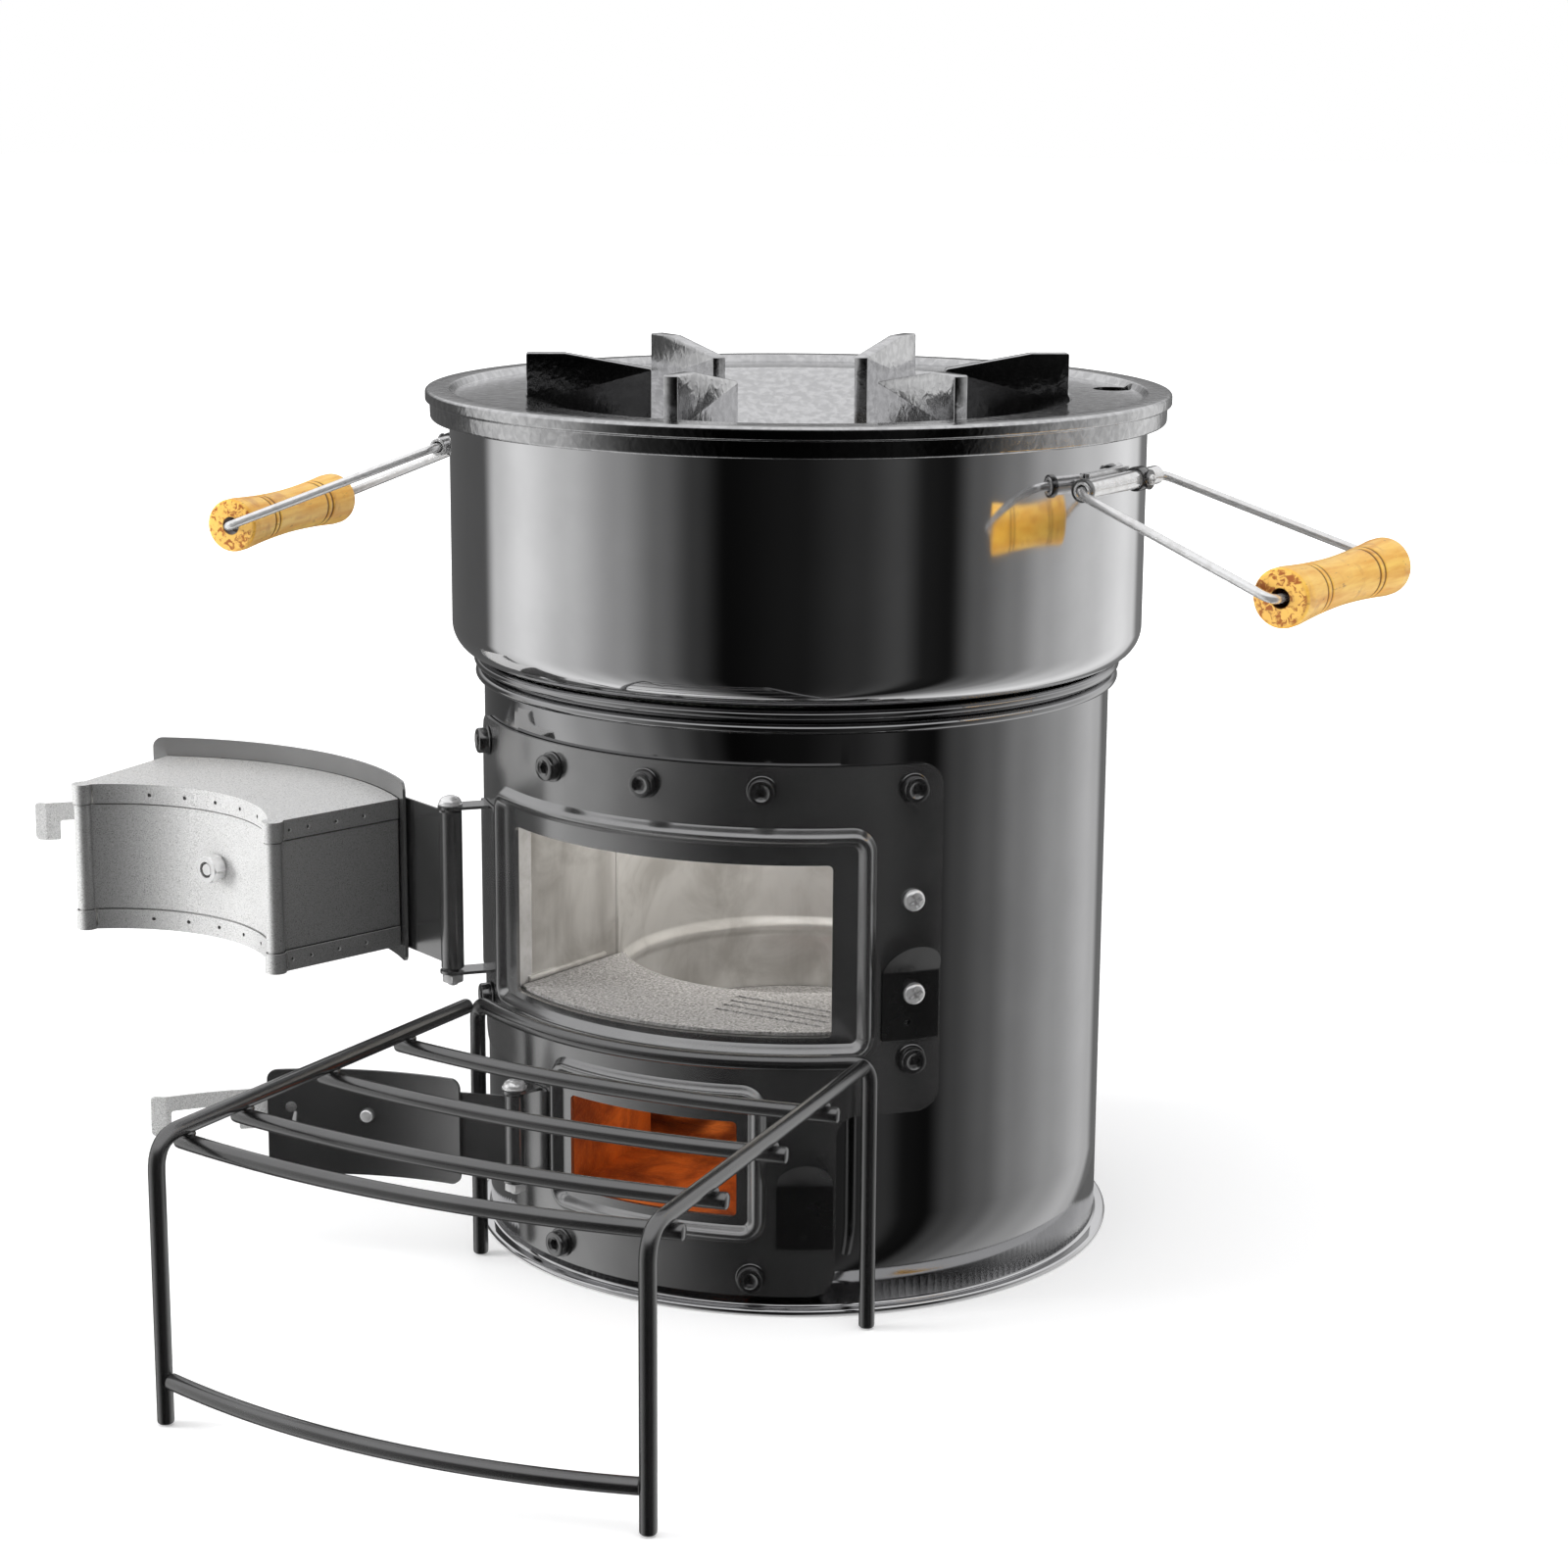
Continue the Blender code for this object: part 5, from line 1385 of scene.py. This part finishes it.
def studio_world():
    """White behind the stove; round it, soft dark and bright walls for the polished shells."""
    world = bpy.data.worlds.new("studio")
    bpy.context.scene.world = world
    world.use_nodes = True
    world.node_tree.nodes.clear()
    sky = Nodes(world.node_tree)
    direction = sky.node("ShaderNodeTexCoord", output="Generated")
    x, y, _ = sky.node("ShaderNodeSeparateXYZ", {0: direction}).node.outputs
    angle = sky.maths("ARCTAN2", x, sky.maths("MULTIPLY", y, -1.0))
    turned = sky.maths("ADD", angle, math.pi - math.radians(26.0))
    share = sky.maths("FRACT", sky.maths("DIVIDE", turned, math.tau))
    walls = sky.node("ShaderNodeValToRGB", {0: share})
    ramp = walls.node.color_ramp
    ramp.interpolation = "EASE"
    while len(ramp.elements) < len(SURROUND):
        ramp.elements.new(0.5)
    for stop, (degrees, level) in zip(ramp.elements, SURROUND):
        stop.position = (degrees + 180) / 360
        stop.color = rgba(level)
    lift = sky.node("ShaderNodeMapRange", dict(enumerate(
        (sky.leaning(direction, SKY_LEAN), 0.23, 0.52, 0.0, 1.0))))
    studio = sky.node("ShaderNodeBackground", {0: sky.blended(lift, walls, (0.85, 0.85, 0.86))})
    white = sky.node("ShaderNodeBackground", {0: 1.0})
    seen = sky.node("ShaderNodeLightPath", output="Is Camera Ray")
    shown = sky.node("ShaderNodeMixShader", {0: seen, 1: studio, 2: white})
    sky.node("ShaderNodeOutputWorld", {0: shown})


def lamp(name, at, power, size, colour=(1.0, 1.0, 1.0), aim=None):
    """Soft light that no surface mirrors: a disc aimed at a spot, or a small ball."""
    data = bpy.data.lights.new(name, "AREA" if aim else "POINT")
    data.energy = power
    data.color = colour
    result = linked(name, data)
    result.location = at
    if aim:
        data.shape = "DISK"
        data.size = size
        result.rotation_mode = "QUATERNION"
        result.rotation_quaternion = (Vector(aim) - Vector(at)).to_track_quat("-Z", "Y")
    else:
        data.shadow_soft_size = size
    result.visible_glossy = False
    result.visible_camera = False


def floor():
    """Plain pale floor that fades into the white background."""
    bm = bmesh.new()
    bmesh.ops.create_circle(bm, cap_ends=True, radius=14.0, segments=96)
    mesh = as_mesh(bm, "floor")
    finish = Finish("floor", 0.80, 0.9)
    finish.drive("Specular IOR Level", 0.0)
    finish.drive("Emission Color", 1.0)
    spot = finish.node("ShaderNodeNewGeometry", output="Position")
    reach = finish.node("ShaderNodeVectorMath", {0: spot}, "Value", operation="LENGTH")
    finish.drive("Emission Strength", finish.span(reach, 0.5, 1.8, 0.30, 1.0))
    mesh.materials.append(finish.material)
    result = linked("floor", mesh)
    result.location = (0.0, 0.0, -0.0005)
    result.visible_glossy = False


def main():
    """Dress every piece, then light and frame the stove."""
    for build in (base_pan, lower_barrel, upper_shell, top_plate, front_panel, riser_tube,
                  fire_chamber, feed_duct, chamber_floor, fire_grate, ash_liner, fasteners):
        build()
    catch("feed_catch", FEED_CATCH, [round_hole(*CATCH_SCREWS[1][:2], 0.0021),
                                     round_hole(45.3, 0.1135, 0.0012)])
    catch("ash_catch", ASH_CATCH, [round_hole(27.9, 0.0312, 0.0012)])
    for name, hinge, ears, half_angle in (("feed_hinge", FEED_HINGE, FEED_EARS, 4.8),
                                          ("ash_hinge", ASH_HINGE, ASH_EARS, 3.6)):
        hinge_bracket(f"{name}_bracket", hinge, ears, half_angle)
        hinge_pin(f"{name}_pin", hinge, ears)
        seat = Matrix.Translation(polar(*hinge, ears[0] - GAP - 0.0032))
        hex_nut(f"{name}_nut", seat, 0.0024, 0.0040, 0.0032)
    feed_door()
    door_leaf("feed_door_leaf", FEED_HINGE, FEED_EARS, (-33.0, -26.0), 0.0045, [], FEED_SWING)
    latch_bar("feed_latch_bar", FEED_LATCH, FEED_NOTCH, FEED_BOLT_Z, 54.4, FEED_SWING)
    ash_door()
    door_leaf("ash_door_leaf", ASH_HINGE, ASH_EARS, (-16.5, -7.5), 0.0038,
              [round_hole(*ASH_SCREW, 0.0021)], ASH_SWING)
    latch_bar("ash_latch_bar", ASH_LATCH, ASH_NOTCH, ASH_BOLT_Z, 34.6, ASH_SWING)
    handle("left", -HANDLE_THETA, LEFT_DROOP)
    handle("right", HANDLE_THETA, RIGHT_DROOP)
    fuel_rack()
    for node in ("upper_insulation", "lower_insulation", "feed_door_insulation"):
        NODES[node].data.materials.clear()
        NODES[node].data.materials.append(FINISHES["ceramic_wool"])

    bpy.context.scene.view_settings.view_transform = "Standard"
    floor()
    camera()
    studio_world()
    lamp("overhead", (0.3, -0.5, 2.4), 23.0, 2.2, aim=(0.0, 0.0, 0.1))
    lamp("key", (-1.55, -1.05, 0.55), 30.0, 0.8, aim=(-0.15, -0.1, 0.12))
    lamp("chamber_glow", (0.0, -0.01, 0.185), 0.62, 0.02, (1.0, 0.98, 0.95))
    lamp("ash_glow", (0.0, -0.07, 0.068), 0.075, 0.008, (1.0, 0.93, 0.85))


main()
